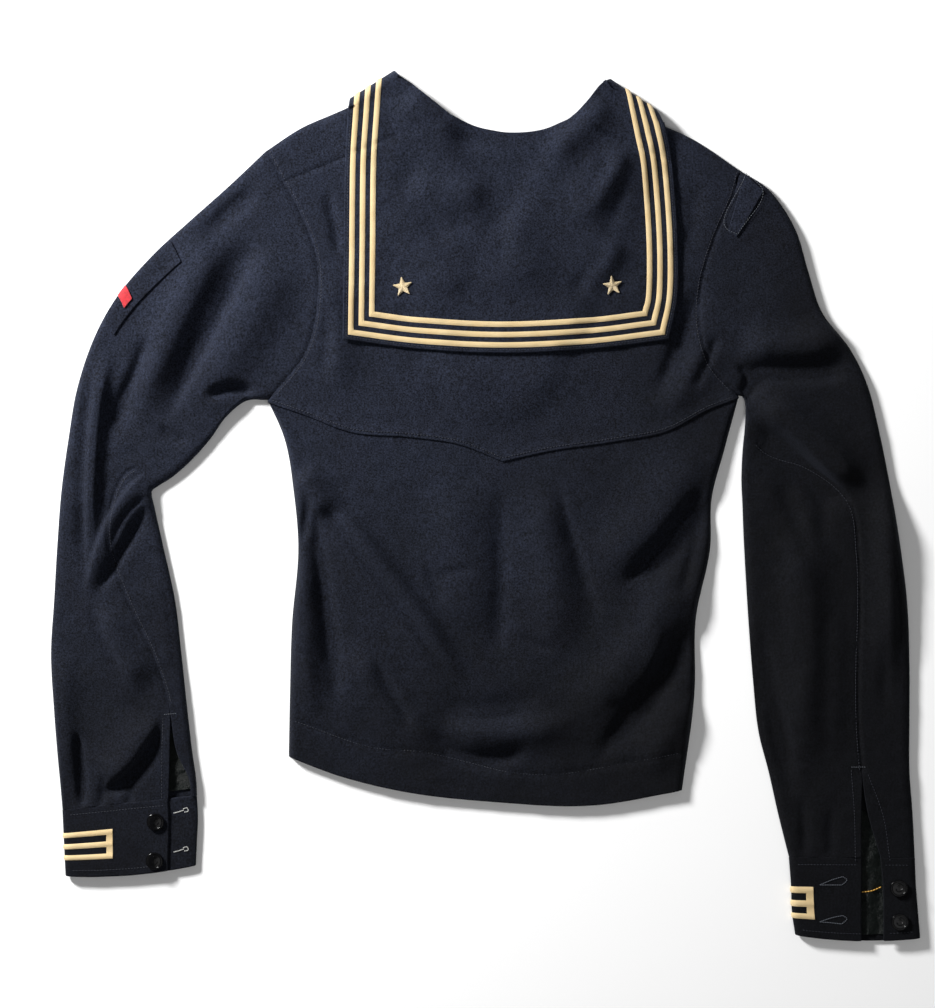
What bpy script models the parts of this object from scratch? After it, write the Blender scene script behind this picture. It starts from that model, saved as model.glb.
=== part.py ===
"""A sailor's jumper in navy wool, laid flat on its front with its back and square collar upwards.

The frame is in metres with +Z up. The origin lies on the surface that carries the jumper, under the
middle of its outline. X runs to the right across the back and Y runs up from the hem to the neck, so
the wearer's left sleeve is at -X. All tables and sizes are in millimetres.

Each cloth piece is a wall: a grid of points on its outer face, worked out from its sections, and the
same grid moved in by the thickness of the cloth."""

import math
from collections import namedtuple

import bmesh
import bpy
import numpy as np
from mathutils.bvhtree import BVHTree

MM = 0.001

# Thickness of each cloth, and the gaps between pieces
WOOL = 1.5
COLLAR_WOOL = 2.0
CUFF_WOOL = 2.0
LINING = 0.8
TAPE = 0.7
PATCH_WOOL = 0.9
SEAM = 0.4
ARMHOLE_SEAM = 1.4
LAID_ON = 0.4
PATCH_EASE = 0.8
COLLAR_EASE = 1.6

# Height of the outer face of the upper cloth where it lies quietly, and the round of its side edges
LIE = 6.4
LEAST_LIE = 4.3
EDGE_TOP = 8.0
EDGE_UNDER = 3.0
EDGE_HEIGHT = 3.0
ROLL_UP = (60, 30, 0)
ROLL_UNDER = (-45, -90)

# The white tape: its width, the step from one row to the next, and the cloth left outside it
TAPE_WIDTH = 5.0
TAPE_STEP = 9.8
TAPE_MARGIN = 4.2
TAPE_NAMES = ("outer", "middle", "inner")

STAR_RADIUS = 9.2
STAR_NOTCH = 0.42
STARS = (("collar_star_left", (-79, 207)), ("collar_star_right", (120, 208)))
BUTTON_RADIUS = 8.2

# Where the outline of the body turns, as places (x, y) on the plan
NECK_LEFT, NECK_RIGHT = (-34, 371), (80, 366)
YOKE_LEFT, YOKE_RIGHT = (-193, 307), (237, 301)
NECKLINE = ((-34, 371), (-10, 359), (13, 354), (34, 352), (58, 356), (80, 366))
YOKE_SEAM_LEFT = ((-207, 100), (-172, 88), (-129, 72), (-72, 67), (-25, 60), (16, 44))
YOKE_SEAM_RIGHT = ((16, 44), (56, 53), (123, 63), (170, 72), (213, 94), (240, 104))
HEM = ((-187, -239), (-139, -257), (-82, -271), (13, -282), (99, -285), (186, -271))
SIDE_LEFT = ((-207, 100), (-192, 66), (-182, 10), (-178, -38), (-184, -114), (-186, -185), (-187, -239))
SIDE_RIGHT = ((240, 104), (226, 52), (214, 5), (213, -38), (199, -109), (198, -176), (186, -271))
ARMHOLE_LEFT = ((-209, 337), (-193, 307), (-177, 278), (-162, 238), (-160, 195), (-171, 147), (-207, 100))
ARMHOLE_RIGHT = ((242, 318), (237, 299), (218, 254), (205, 209), (204, 166), (212, 137), (240, 104))

# The shoulder edges, from the side of the neck to the armhole, of the body and of the collar over it
RIDGE_LEFT = ((-84, 408), (-127, 380), (-177, 358), (-209, 337))
RIDGE_RIGHT = ((115, 399), (154, 368), (197, 348), (242, 318))
COLLAR_RIDGE_LEFT = ((-88, 413), (-129, 387))
COLLAR_RIDGE_RIGHT = ((119, 405), (162, 376))

# The front's slit neck, hidden underneath: its lowest point, and where the collar's ends meet
SLIT_POINT = (13, 192)
LAPEL_END = (13, 130)
LAPEL_HALF_WIDTH = 36.0
LAPEL_RAMP = 28.0
LAPEL_LIFT = 3.7
LAPEL_UNDER = 1.1
CENTRE_GAP = 1.0

# The collar's cut: each row is a line across it, from the neck to its free edge
CollarLine = namedtuple("CollarLine", "name neck edge steps")
COLLAR_LINES = (
    CollarLine("left shoulder", (-82, 406), (-130, 373), 2),
    CollarLine("left side, upper", (-71, 399), (-133, 323), 3),
    CollarLine("left side, lower", (-54, 386), (-134, 238), 3),
    CollarLine("left corner", (-35, 371), (-135, 158), 3),
    CollarLine("bottom, left", (-11, 359), (-63, 149), 3),
    CollarLine("bottom, middle", (20, 353), (16, 145), 3),
    CollarLine("bottom, right", (51, 355), (99, 149), 3),
    CollarLine("right corner", (77, 365), (173, 158), 2),
    CollarLine("right side, low", (86, 372), (181, 200), 3),
    CollarLine("right side, mid", (98, 385), (181, 256), 3),
    CollarLine("right side, upper", (108, 397), (176, 323), 3),
    CollarLine("right shoulder", (114, 402), (169, 359), 2),
)
# Its columns run at the edge and along both sides of each tape, then at shares of the way to the neck
TAPE_SIDES = (0, *(TAPE_MARGIN + TAPE_STEP * n + side for n in range(3) for side in (0, TAPE_WIDTH)))
COLLAR_SHARES = (0.22, 0.47, 0.72, 0.92, 1)
LAPEL_ROWS = 6
# The tapes run closer together where the collar's edge meets a fold at a slant, down to this share
LEAST_SLANT = 0.8

# The sleeves: each section runs from the outer edge of the arm to its inner edge. first and last say
# where the cloth begins and ends, as shares of the width, on each side of the seam and cuff vent.
Section = namedtuple("Section", "outer inner first last roll")
SLEEVE_LEFT = (
    Section((-209, 337), (-207, 100), 0.93, 0.93, 8),
    Section((-245, 303), (-228, 99), 0.93, 0.93, 8),
    Section((-281, 271), (-247, 84), 0.93, 0.93, 8),
    Section((-317, 238), (-263, 62), 0.93, 0.93, 8),
    Section((-350, 200), (-281, 42), 0.92, 0.92, 8),
    Section((-373, 159), (-298, 27), 0.88, 0.88, 8),
    Section((-389, 111), (-312, 18), 0.80, 0.80, 8),
    Section((-397, 65), (-318, 12), 0.68, 0.68, 8),
    Section((-404, 14), (-315, -4), 0.55, 0.55, 8),
    Section((-408, -38), (-307, -40), 0.49, 0.49, 8),
    Section((-411, -90), (-296, -90), 0.61, 0.61, 8),
    Section((-414, -142), (-290, -140), 0.78, 0.78, 8),
    Section((-411, -195), (-285, -187), 0.865, 0.87, 6),
    Section((-408, -233), (-280, -231), 0.835, 0.89, 5),
    Section((-405, -266), (-276, -259), 0.80, 0.955, 4),
    Section((-403, -289), (-275, -276), 0.785, 0.965, 3),
)
SLEEVE_RIGHT = (
    Section((242, 318), (240, 104), 0.93, 0.93, 8),
    Section((270, 299), (245, 103), 0.93, 0.93, 8),
    Section((294, 263), (247, 98), 0.92, 0.92, 8),
    Section((307, 221), (247, 87), 0.92, 0.92, 8),
    Section((320, 183), (246, 71), 0.91, 0.91, 8),
    Section((346, 149), (244, 50), 0.88, 0.88, 8),
    Section((363, 114), (243, 24), 0.74, 0.74, 8),
    Section((374, 71), (244, 0), 0.50, 0.50, 8),
    Section((385, 16), (245, -28), 0.28, 0.28, 8),
    Section((394, -38), (247, -66), 0.27, 0.27, 8),
    Section((401, -95), (250, -114), 0.30, 0.30, 8),
    Section((403, -152), (254, -166), 0.33, 0.33, 8),
    Section((403, -204), (259, -214), 0.338, 0.338, 8),
    Section((403, -252), (269, -254), 0.338, 0.345, 8),
    Section((406, -294), (278, -294), 0.33, 0.39, 8),
    Section((408, -335), (288, -334), 0.27, 0.433, 7),
)
# The cuffs go on from the sleeves. On the left one the cloth runs on under itself.
CUFF_LEFT = (
    Section((-403, -290), (-275, -277), 0.778, 0.64, 7),
    Section((-402, -311), (-274, -298), 0.78, 0.64, 7),
    Section((-401, -332), (-275, -321), 0.78, 0.64, 7),
    Section((-400, -352), (-276, -342), 0.78, 0.64, 7),
)
CUFF_RIGHT = (
    Section((408, -336), (288, -335), 0.27, 0.433, 7),
    Section((409, -361), (290, -361), 0.26, 0.445, 7),
    Section((411, -387), (291, -387), 0.27, 0.46, 7),
    Section((413, -411), (294, -408), 0.29, 0.48, 7),
)
CUFF_LIE = 8.2
CUFF_TUCK = 5.9
CUFF_UNDER = 1.1
CUFF_BOTTOM_BOW = 4.0
CUFF_ROWS = 4

# The cuff's white tape: three rows between two end bars, on the upper side from start, under to end
Braid = namedtuple("Braid", "start bar end rows")
BRAID_LEFT = Braid(0.367, 0.322, 0.72, (1.16, 1.66, 2.16))
BRAID_RIGHT = Braid(0.173, 0.118, 0.78, (1.17, 1.65, 2.13))
BRAID_SHARE = 0.22

# Satin that lines the vents above the cuffs: its corners, from the wrist's outer side round
LiningRow = namedtuple("LiningRow", "left right under")
LINING_LEFT = (
    LiningRow((-319, -215), (-287, -219), 1.9),
    LiningRow((-318, -244), (-283, -246), 1.9),
    LiningRow((-318, -274), (-281, -270), 1.9),
)
LINING_RIGHT = (
    LiningRow((349, -286), (386, -305), 1.9),
    LiningRow((349, -316), (387, -320), 1.9),
    LiningRow((350, -331), (388, -332), 3.6),
    LiningRow((352, -370), (390, -370), 3.6),
    LiningRow((353, -408), (391, -408), 3.6),
)
LINING_COLUMNS = 3

# Buttons, buttoned to nothing, as the middle of each
BUTTONS = (
    ("cuff_button_left_upper", (-314, -301)),
    ("cuff_button_left_lower", (-315, -338)),
    ("cuff_button_right_upper", (392, -364)),
    ("cuff_button_right_lower", (393, -396)),
)
BUTTON_HEIGHT = 3.4
BUTTON_SIDES = 14
# A button's profile, from the middle of its back to the middle of its dome, as shares of its size
RimPoint = namedtuple("RimPoint", "radius rise")
BUTTON_PROFILE = (
    RimPoint(0.0, 0.0),
    RimPoint(0.72, 0.0),
    RimPoint(0.95, 0.25),
    RimPoint(1.0, 0.55),
    RimPoint(0.9, 0.85),
    RimPoint(0.7, 0.8),
    RimPoint(0.0, 1.0),
)

# The tab on the right shoulder, left without lettering, and the patch on the left upper arm
TAB = ((246, 314), (263, 298), (238, 255), (230, 260))
Patch = namedtuple("Patch", "rows share steps columns")
BADGE = Patch((2.55, 4.5), 0.125, 7, 3)
CHEVRON = Patch((3.75, 3.98), 0.085, 2, 2)
CHEVRON_FELT = 0.6

# Largest folds: a soft ridge (or, with a height below nothing, a trough) along a bent line from start
# to end. left and right are how far it spreads on each side, looking from start to end.
Fold = namedtuple("Fold", "name start bend end height left right")
FOLDS = (
    Fold("upper arm, long trough", (-213, 259), (-257, 209), (-312, 71), -3.0, 11, 13),
    Fold("upper arm, ridge beside it", (-191, 252), (-224, 166), (-286, 81), 5.0, 24, 20),
    Fold("upper arm, second ridge", (-248, 266), (-291, 185), (-343, 71), 5.5, 18, 20),
    Fold("upper arm, second trough", (-319, 166), (-327, 128), (-359, 57), -2.5, 10, 12),
    Fold("shoulder trough, left", (-213, 301), (-243, 280), (-276, 247), -2.0, 9, 9),
    Fold("outer arm ridge", (-357, 152), (-376, 71), (-374, -52), 5.0, 6, 26),
    Fold("elbow flap", (-319, 31), (-363, 5), (-382, -90), 7.5, 24, 5),
    Fold("armpit tuck, left", (-222, 105), (-238, 119), (-272, 98), -2.5, 6, 6),
    Fold("under the elbow flap", (-319, 0), (-342, -38), (-374, -90), -2.0, 9, 9),
    Fold("forearm ridge, left", (-369, -90), (-348, -138), (-319, -176), 3.5, 15, 12),
    Fold("cuff bulge, left", (-381, -247), (-350, -223), (-323, -206), 6.0, 22, 18),
    Fold("cuff crease, left", (-370, -277), (-327, -263), (-310, -212), -2.6, 7, 7),
    Fold("cuff pleat, left", (-390, -212), (-382, -247), (-383, -292), -2.6, 5, 5),
    Fold("edge ridge, left forearm", (-401, -128), (-403, -204), (-395, -280), 2.5, 12, 12),
    Fold("armpit crease, right", (239, 132), (289, 121), (348, 136), -2.8, 9, 9),
    Fold("ridge over the crease, right", (237, 152), (289, 145), (346, 157), 4.5, 18, 16),
    Fold("armpit tuck, right", (239, 92), (253, 121), (268, 126), -2.8, 8, 8),
    Fold("upper arm ridge, right", (253, 104), (303, 71), (352, 10), 5.5, 22, 14),
    Fold("upper arm trough, right", (249, 76), (298, 41), (346, -7), -1.8, 10, 12),
    Fold("forearm ridge, right", (298, 5), (304, -100), (304, -271), 3.5, 20, 20),
    Fold("forearm trough, right", (258, -100), (272, -185), (294, -299), -1.8, 10, 12),
    Fold("back of the arm, right", (379, 33), (387, -52), (378, -185), 3.5, 14, 16),
    Fold("side dart, left", (-180, 33), (-165, 16), (-148, -14), 5.0, 14, 14),
    Fold("side trough, left", (-160, -14), (-156, -90), (-137, -190), -2.4, 9, 11),
    Fold("side ridge, left", (-171, -33), (-174, -109), (-165, -214), 3.5, 12, 12),
    Fold("long back ridge, left", (-158, 12), (-86, -62), (-15, -176), 4.6, 16, 20),
    Fold("lower back ridge, left", (-134, -128), (-96, -185), (-34, -235), 4.5, 16, 16),
    Fold("lower back trough, left", (-118, -147), (-77, -209), (-15, -244), -2.2, 8, 8),
    Fold("bottom sag, upper", (-58, -185), (-1, -206), (56, -181), -2.0, 12, 12),
    Fold("bottom sag, lower", (-53, -225), (4, -259), (47, -225), -2.4, 9, 9),
    Fold("bottom roll", (-44, -209), (13, -228), (99, -204), 4.6, 14, 14),
    Fold("long back trough, right", (217, 26), (194, -52), (118, -83), -2.8, 12, 12),
    Fold("long back ridge, right", (203, 62), (165, -33), (99, -62), 4.5, 22, 26),
    Fold("side trough, right", (200, -90), (184, -176), (93, -254), -2.8, 12, 12),
    Fold("side ridge, right", (194, -52), (156, -147), (70, -214), 5.0, 26, 22),
    Fold("hem corner, right", (194, -176), (177, -223), (146, -256), 3.0, 16, 16),
    Fold("middle trough", (16, 33), (19, -62), (11, -176), -1.4, 16, 16),
    Fold("middle ridge, left", (-29, 33), (-25, -52), (-15, -128), 2.4, 24, 24),
    Fold("middle ridge, right", (51, 33), (63, -62), (70, -147), 3.0, 22, 18),
    Fold("middle trough, right", (72, 5), (89, -62), (110, -138), -1.6, 10, 14),
    Fold("yoke trough, right", (203, 225), (199, 166), (170, 98), -2.0, 9, 9),
    Fold("yoke ridge, right", (215, 157), (194, 119), (165, 76), 2.8, 14, 14),
    Fold("yoke ridge, left", (-148, 233), (-146, 166), (-134, 100), 2.4, 16, 16),
)
COLLAR_FOLDS = (
    Fold("neck roll, left", (-80, 392), (-63, 368), (-15, 347), 3.0, 14, 14),
    Fold("neck sag, left", (-78, 311), (-44, 285), (13, 301), 2.4, 18, 20),
    Fold("neck roll, right", (115, 389), (99, 356), (51, 328), 3.4, 16, 12),
    Fold("diagonal ridge, right", (135, 347), (120, 304), (80, 266), 3.6, 12, 18),
    Fold("middle mound", (13, 276), (37, 252), (42, 195), 2.2, 24, 24),
    Fold("corner ridge, right", (129, 254), (113, 231), (99, 204), 2.4, 12, 14),
    Fold("left mound", (-44, 261), (-34, 228), (-32, 195), 1.8, 24, 24),
)

# Folds are followed through this many short straight pieces, and fade over this share at each end
FOLD_PIECES = 10
FOLD_FADE = 0.3

# Two heights closer than this are the same
SAME = 0.002
# A height above all of the cloth
FAR_ABOVE = 100


def curve(points, shares):
    """Points at the given shares of the length of a smooth line through points."""
    points = np.array(points, float)
    steps = np.linalg.norm(np.diff(points, axis=0), axis=1)
    at = np.concatenate([[0.0], np.cumsum(steps)]) / steps.sum()
    return through(points, at, shares)


def through(values, at, where):
    """Values at where, on a smooth line that has the given values at the places at."""
    slopes = np.gradient(values, at, axis=0)
    where = np.clip(np.atleast_1d(np.asarray(where, float)), at[0], at[-1])
    i = np.clip(np.searchsorted(at, where, side="right") - 1, 0, len(at) - 2)
    span = (at[i + 1] - at[i])[:, None]
    f = (where - at[i])[:, None] / span
    start = values[i] * (2 * f**3 - 3 * f**2 + 1) + slopes[i] * span * (f**3 - 2 * f**2 + f)
    end = values[i + 1] * (3 * f**2 - 2 * f**3) + slopes[i + 1] * span * (f**3 - f**2)
    return start + end


def smooth_step(x):
    """0 below 0, 1 above 1, and a soft S between."""
    x = np.clip(x, 0, 1)
    return x * x * (3 - 2 * x)


def from_segment(plan, start, end):
    """Distance of plan points from the straight piece start to end, the share along it, and the side."""
    start, along = np.array(start, float), np.array(end, float) - np.array(start, float)
    to_point = plan - start
    share = np.clip(to_point @ along / (along @ along), 0, 1)
    away = to_point - share[..., None] * along
    side = along[0] * to_point[..., 1] - along[1] * to_point[..., 0]
    return np.linalg.norm(away, axis=-1), share, side


def fold_height(fold, plan):
    """Height that one fold adds at plan points."""
    t = np.linspace(0, 1, FOLD_PIECES + 1)[:, None]
    start, bend, end = (np.array(p, float) for p in (fold.start, fold.bend, fold.end))
    path = (1 - t) ** 2 * start + 2 * t * (1 - t) * bend + t**2 * end
    nearest = np.full(plan.shape[:-1], np.inf)
    along = np.zeros_like(nearest)
    left = np.zeros_like(nearest, bool)
    for i in range(FOLD_PIECES):
        distance, share, side = from_segment(plan, path[i], path[i + 1])
        closer = distance < nearest
        nearest = np.where(closer, distance, nearest)
        along = np.where(closer, (i + share) / FOLD_PIECES, along)
        left = np.where(closer, side > 0, left)
    width = np.where(left, fold.left, fold.right)
    fade = smooth_step(along / FOLD_FADE) * smooth_step((1 - along) / FOLD_FADE)
    return fold.height * np.exp(-((nearest / width) ** 2)) * fade


def lapel_lift(plan):
    """How far the front's cloth is lifted off the surface by the collar's ends folded under it."""
    lift = np.zeros(plan.shape[:-1])
    for ridge in (COLLAR_RIDGE_LEFT, COLLAR_RIDGE_RIGHT):
        top = np.mean(ridge, axis=0)
        distance = from_segment(plan, top, LAPEL_END)[0]
        share = (LAPEL_HALF_WIDTH + LAPEL_RAMP - distance) / LAPEL_RAMP
        lift = np.maximum(lift, LAPEL_LIFT * smooth_step(share))
    return lift


def upper_face(plan):
    """Height of the outer face of the upper cloth at plan points."""
    lift = lapel_lift(plan)
    height = LIE + lift + sum(fold_height(fold, plan) for fold in FOLDS)
    return np.maximum(height, lift + LEAST_LIE)


def upper_direction(plan):
    """The direction in which the upper cloth faces at plan points."""
    step = 0.5
    slope_x = (upper_face(plan + (step, 0)) - upper_face(plan - (step, 0))) / (2 * step)
    slope_y = (upper_face(plan + (0, step)) - upper_face(plan - (0, step))) / (2 * step)
    direction = np.stack([-slope_x, -slope_y, np.ones_like(slope_x)], axis=-1)
    return direction / np.linalg.norm(direction, axis=-1, keepdims=True)


def collar_face(plan):
    """Height of the collar's outer face where it lies on the back."""
    folds = sum(fold_height(fold, plan) for fold in COLLAR_FOLDS)
    return upper_face(plan) + COLLAR_EASE + COLLAR_WOOL + folds


def with_height(plan, height):
    """Plan points given a height."""
    return np.concatenate([plan, np.broadcast_to(height, plan.shape[:-1])[..., None]], axis=-1)


def patch_between(top, bottom, left, right, across, down):
    """A grid of plan points inside four edges that share their corners."""
    u, v = np.array(across)[None, :, None], np.array(down)[:, None, None]
    ruled = (1 - v) * top[None] + v * bottom[None] + (1 - u) * left[:, None] + u * right[:, None]
    corners = (1 - u) * (1 - v) * top[0] + u * (1 - v) * top[-1]
    return ruled - corners - (1 - u) * v * bottom[0] - u * v * bottom[-1]


def round_edge(edge, inward, face, under, angles):
    """Rows of points round an edge of the cloth, from its upper face down and under it.

    edge and inward are plan points and unit steps into the cloth, face gives the upper height and
    under the lower height at each, and an angle of 90 is the top of the round."""
    rows = []
    middle = (face + under) / 2 if np.ndim(face) else EDGE_HEIGHT
    middle = np.minimum(middle, under + EDGE_HEIGHT)
    for angle in angles:
        lean, rise = math.cos(math.radians(angle)), math.sin(math.radians(angle))
        reach = EDGE_TOP if angle > 0 else EDGE_UNDER
        end = face if angle > 0 else under
        plan = edge + inward * reach * (1 - lean)
        rows.append(with_height(plan, middle + (end - middle) * abs(rise)))
    return rows


def wall(name, patches, thickness, material, keep=None, foot=None):
    """A closed solid: the outer faces of the patches, the same faces moved in, and the rims between.

    A patch is (grid of points, whether its faces are turned over). Points that two patches share
    are joined. Points of the upper face are moved in square to it, so that seams stay open, and
    those at the foot's height level with it. keep, a grid of yes and no, leaves out cells of a
    single patch."""
    points, faces = [], []
    for grid, turned in patches:
        rows, columns = grid.shape[:2]
        index = np.arange(rows * columns).reshape(rows, columns) + len(points)
        points.extend(grid.reshape(-1, 3))
        quads = np.stack([index[:-1, :-1], index[1:, :-1], index[1:, 1:], index[:-1, 1:]], axis=-1)
        quads = quads[keep] if keep is not None else quads.reshape(-1, 4)
        faces.extend(quads[:, ::-1] if turned else quads)
    _, first, joined = np.unique(np.round(points, 3), axis=0, return_index=True, return_inverse=True)
    outer = np.array(points)[first]
    faces = joined.reshape(-1)[np.array(faces)]
    directions = face_directions(outer, faces)
    lying = abs(outer[:, 2] - upper_face(outer[:, :2])) < SAME
    directions[lying] = upper_direction(outer[lying, :2])
    if foot is not None:
        standing = abs(outer[:, 2] - foot) < SAME
        directions[standing, 2] = 0
        directions[standing] /= np.linalg.norm(directions[standing], axis=1, keepdims=True)
    return solid(name, outer, outer - thickness * directions, faces, material)


def face_directions(points, faces):
    """The direction in which the surface faces at each point."""
    corners = points[faces]
    crosses = np.cross(corners[:, 2] - corners[:, 0], corners[:, -1] - corners[:, 1])
    total = np.zeros_like(points)
    for k in range(faces.shape[1]):
        np.add.at(total, faces[:, k], crosses)
    length = np.linalg.norm(total, axis=1, keepdims=True)
    return total / np.maximum(length, 1e-12)


def solid(name, outer, inner, faces, material):
    """Makes the object of a wall from its two faces."""
    mesh = bmesh.new()
    used = np.unique(faces)
    tops = {i: mesh.verts.new(outer[i] * MM) for i in used}
    lows = {i: mesh.verts.new(inner[i] * MM) for i in used}
    sides = {}
    for face in faces:
        mesh.faces.new([tops[i] for i in face])
        mesh.faces.new([lows[i] for i in face[::-1]])
        for a, b in zip(face, np.roll(face, -1)):
            if (b, a) in sides:
                del sides[b, a]
            else:
                sides[a, b] = True
    for a, b in sides:
        mesh.faces.new([tops[b], tops[a], lows[a], lows[b]])
    data = bpy.data.meshes.new(name)
    mesh.to_mesh(data)
    mesh.free()
    data.shade_smooth()
    data.set_sharp_from_angle(angle=math.radians(50))
    data.materials.append(material)
    made = bpy.data.objects.new(name, data)
    bpy.context.scene.collection.objects.link(made)
    return made


def finish(name, colour, roughness, metallic=0.0):
    """A plain material."""
    material = bpy.data.materials.new(name)
    material.use_nodes = True
    shader = material.node_tree.nodes["Principled BSDF"]
    shader.inputs["Base Color"].default_value = (*colour, 1)
    shader.inputs["Roughness"].default_value = roughness
    shader.inputs["Metallic"].default_value = metallic
    return material


# The body

EDGE_COLUMNS = (0.0, 1.07, 4.0, EDGE_TOP)
SHOULDER_SHARE = 0.36
SHOULDER_COLUMNS, NECK_COLUMNS = 8, 3
YOKE_ROWS, BACK_ROWS = 9, 19
FADE_ROWS_SHARE = 0.07
CURVE_SAMPLES = 400


def body_columns(width):
    """Shares of the width for the columns of the back and yoke: close at the edges, then even."""
    left = np.linspace(0, SHOULDER_SHARE, SHOULDER_COLUMNS + 1)[1:]
    middle = np.linspace(SHOULDER_SHARE, 0.5, NECK_COLUMNS + 1)[1:]
    half = np.concatenate([np.array(EDGE_COLUMNS) / width, left, middle])
    return np.concatenate([half, 1 - half[-2::-1]])


def yoke_seam(across):
    """The pointed seam between yoke and back."""
    left = curve(YOKE_SEAM_LEFT, across[across <= 0.5] * 2)
    return np.concatenate([left, curve(YOKE_SEAM_RIGHT, across[across > 0.5] * 2 - 1)])


def yoke_top(across):
    """The yoke's upper edge: shoulder seam, back neck, shoulder seam."""
    a, b = SHOULDER_SHARE, 1 - SHOULDER_SHARE
    left = curve((YOKE_LEFT, NECK_LEFT), across[across < a - 1e-9] / a)
    neck = curve(NECKLINE, (across[(across >= a - 1e-9) & (across <= b + 1e-9)] - a) / (b - a))
    right = curve((NECK_RIGHT, YOKE_RIGHT), (across[across > b + 1e-9] - b) / (1 - b))
    return np.concatenate([left, neck, right])


def part_of_curve(points, start, end, count):
    """Points along a curve between the places where it comes nearest to start and end."""
    dense = curve(points, np.linspace(0, 1, CURVE_SAMPLES + 1))
    nearest = [np.argmin(np.linalg.norm(dense - np.array(p), axis=1)) for p in (start, end)]
    ends = [place / CURVE_SAMPLES for place in nearest]
    return curve(points, np.linspace(*ends, count))


def make_yoke(wool):
    """The yoke, from the shoulder seams and back neck down to the pointed seam."""
    across = body_columns(np.hypot(*np.subtract(YOKE_SEAM_RIGHT[-1], YOKE_SEAM_LEFT[0])))
    down = np.linspace(0, 1, YOKE_ROWS + 1)
    left = part_of_curve(ARMHOLE_LEFT, YOKE_LEFT, ARMHOLE_LEFT[-1], len(down))
    right = part_of_curve(ARMHOLE_RIGHT, YOKE_RIGHT, ARMHOLE_RIGHT[-1], len(down))
    top, bottom = yoke_top(across), yoke_seam(across)
    top[0], top[-1], bottom[0], bottom[-1] = left[0], right[0], left[-1], right[-1]
    plan = patch_between(top, bottom, left, right, across, down)
    plan[0, :, 1] -= SEAM / 2
    plan[-1, :, 1] += SEAM / 2
    return wall("back_yoke", [(with_height(plan, upper_face(plan)), False)], WOOL, wool)


def make_back(wool):
    """The back below the yoke, rounding down to the front at the side seams."""
    width = np.hypot(*np.subtract(YOKE_SEAM_RIGHT[-1], YOKE_SEAM_LEFT[0]))
    across = body_columns(width)
    down = np.linspace(0, 1, BACK_ROWS + 1)
    left, right = curve(SIDE_LEFT, down), curve(SIDE_RIGHT, down)
    plan = patch_between(yoke_seam(across), curve(HEM, across), left, right, across, down)
    plan[0, :, 1] -= SEAM / 2
    face = upper_face(plan)
    side = across * width
    side = np.minimum(side, width - side)
    rise = np.sqrt(np.clip(1 - (1 - np.clip(side / EDGE_TOP, 0, 1)) ** 2, 0, 1))
    rounding = smooth_step(down / FADE_ROWS_SHARE)[:, None]
    foot = WOOL + SEAM
    height = foot + (face - foot) * (1 - rounding * (1 - rise[None]))
    return wall("back_panel", [(with_height(plan, height), False)], WOOL, wool, foot=foot)


FRONT_COLUMNS = 8
FRONT_FLAP_ROWS = 2
# Rows of the front's under side: down the slit, then to the chest, then to the hem
SLIT_ROWS, CHEST_ROWS, SIDE_ROWS = 6, 2, 8
CHEST = (13, 100)
HEM_MIDDLE = (2, -281)


def inward_steps(line, towards):
    """Unit steps on the plan, square to a line of points and pointing towards a place."""
    along = np.gradient(line, axis=0)
    step = np.stack([-along[:, 1], along[:, 0]], axis=1)
    step /= np.linalg.norm(step, axis=1, keepdims=True)
    turn = np.sign(((np.array(towards) - line) * step).sum(1, keepdims=True))
    return step * turn


def front_half(ridge, neck, seam_end, armhole, side, hem):
    """One half of the front: the flap over the shoulder, the shoulder's round, and the panel under."""
    across = np.linspace(0, 1, FRONT_COLUMNS + 1)
    seam = curve((neck, seam_end), across) + (0, SEAM / 2)
    edge = curve(ridge, across)
    inward = inward_steps(edge, SLIT_POINT)
    shoulder = edge + inward * EDGE_TOP
    grid = []
    for share in np.linspace(0, 1, FRONT_FLAP_ROWS + 1):
        plan = seam + (shoulder - seam) * share
        grid.append(with_height(plan, upper_face(plan)))
    under = lapel_lift(edge + inward * EDGE_UNDER)
    grid += round_edge(edge, inward, upper_face(shoulder), under, ROLL_UP + ROLL_UNDER)
    slit = curve((grid[-1][0, :2], SLIT_POINT), np.linspace(0, 1, SLIT_ROWS + 1))[1:]
    chest = curve((SLIT_POINT, CHEST), np.linspace(0, 1, CHEST_ROWS + 1))[1:]
    down = curve((CHEST, HEM_MIDDLE), np.linspace(0, 1, SIDE_ROWS + 1))[1:]
    shares = np.linspace(0, 1, SLIT_ROWS + CHEST_ROWS + 1)[1:]
    sides = np.concatenate([curve(armhole, shares), curve(side, np.linspace(0, 1, SIDE_ROWS + 1)[1:])])
    plans = [curve((middle, end), across) for middle, end in zip([*slit, *chest, *down], sides)]
    plans[-1] = hem(across)
    return np.array(grid + [with_height(plan, lapel_lift(plan)) for plan in plans])


def make_front(wool):
    """The front, in one piece with its two shoulder flaps, slit at the neck."""
    left = front_half(RIDGE_LEFT, NECK_LEFT, YOKE_LEFT, ARMHOLE_LEFT, SIDE_LEFT, half_hem(-1))
    right = front_half(RIDGE_RIGHT, NECK_RIGHT, YOKE_RIGHT, ARMHOLE_RIGHT, SIDE_RIGHT, half_hem(1))
    return wall("front_panel", [(left, False), (right, True)], WOOL, wool)


def half_hem(side):
    """A function that gives the hem from its middle to the left (-1) or right (1) side."""
    return lambda across: curve(HEM, 0.5 + side * across / 2)


# The collar


def collar_columns(near_edge, necks):
    """Points from the neck to the free edge, one row for each neck point."""
    last = near_edge[:, -1]
    rest = np.stack([last + (necks - last) * share for share in COLLAR_SHARES], axis=1)
    return np.concatenate([near_edge, rest], axis=1)[:, ::-1]


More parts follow.
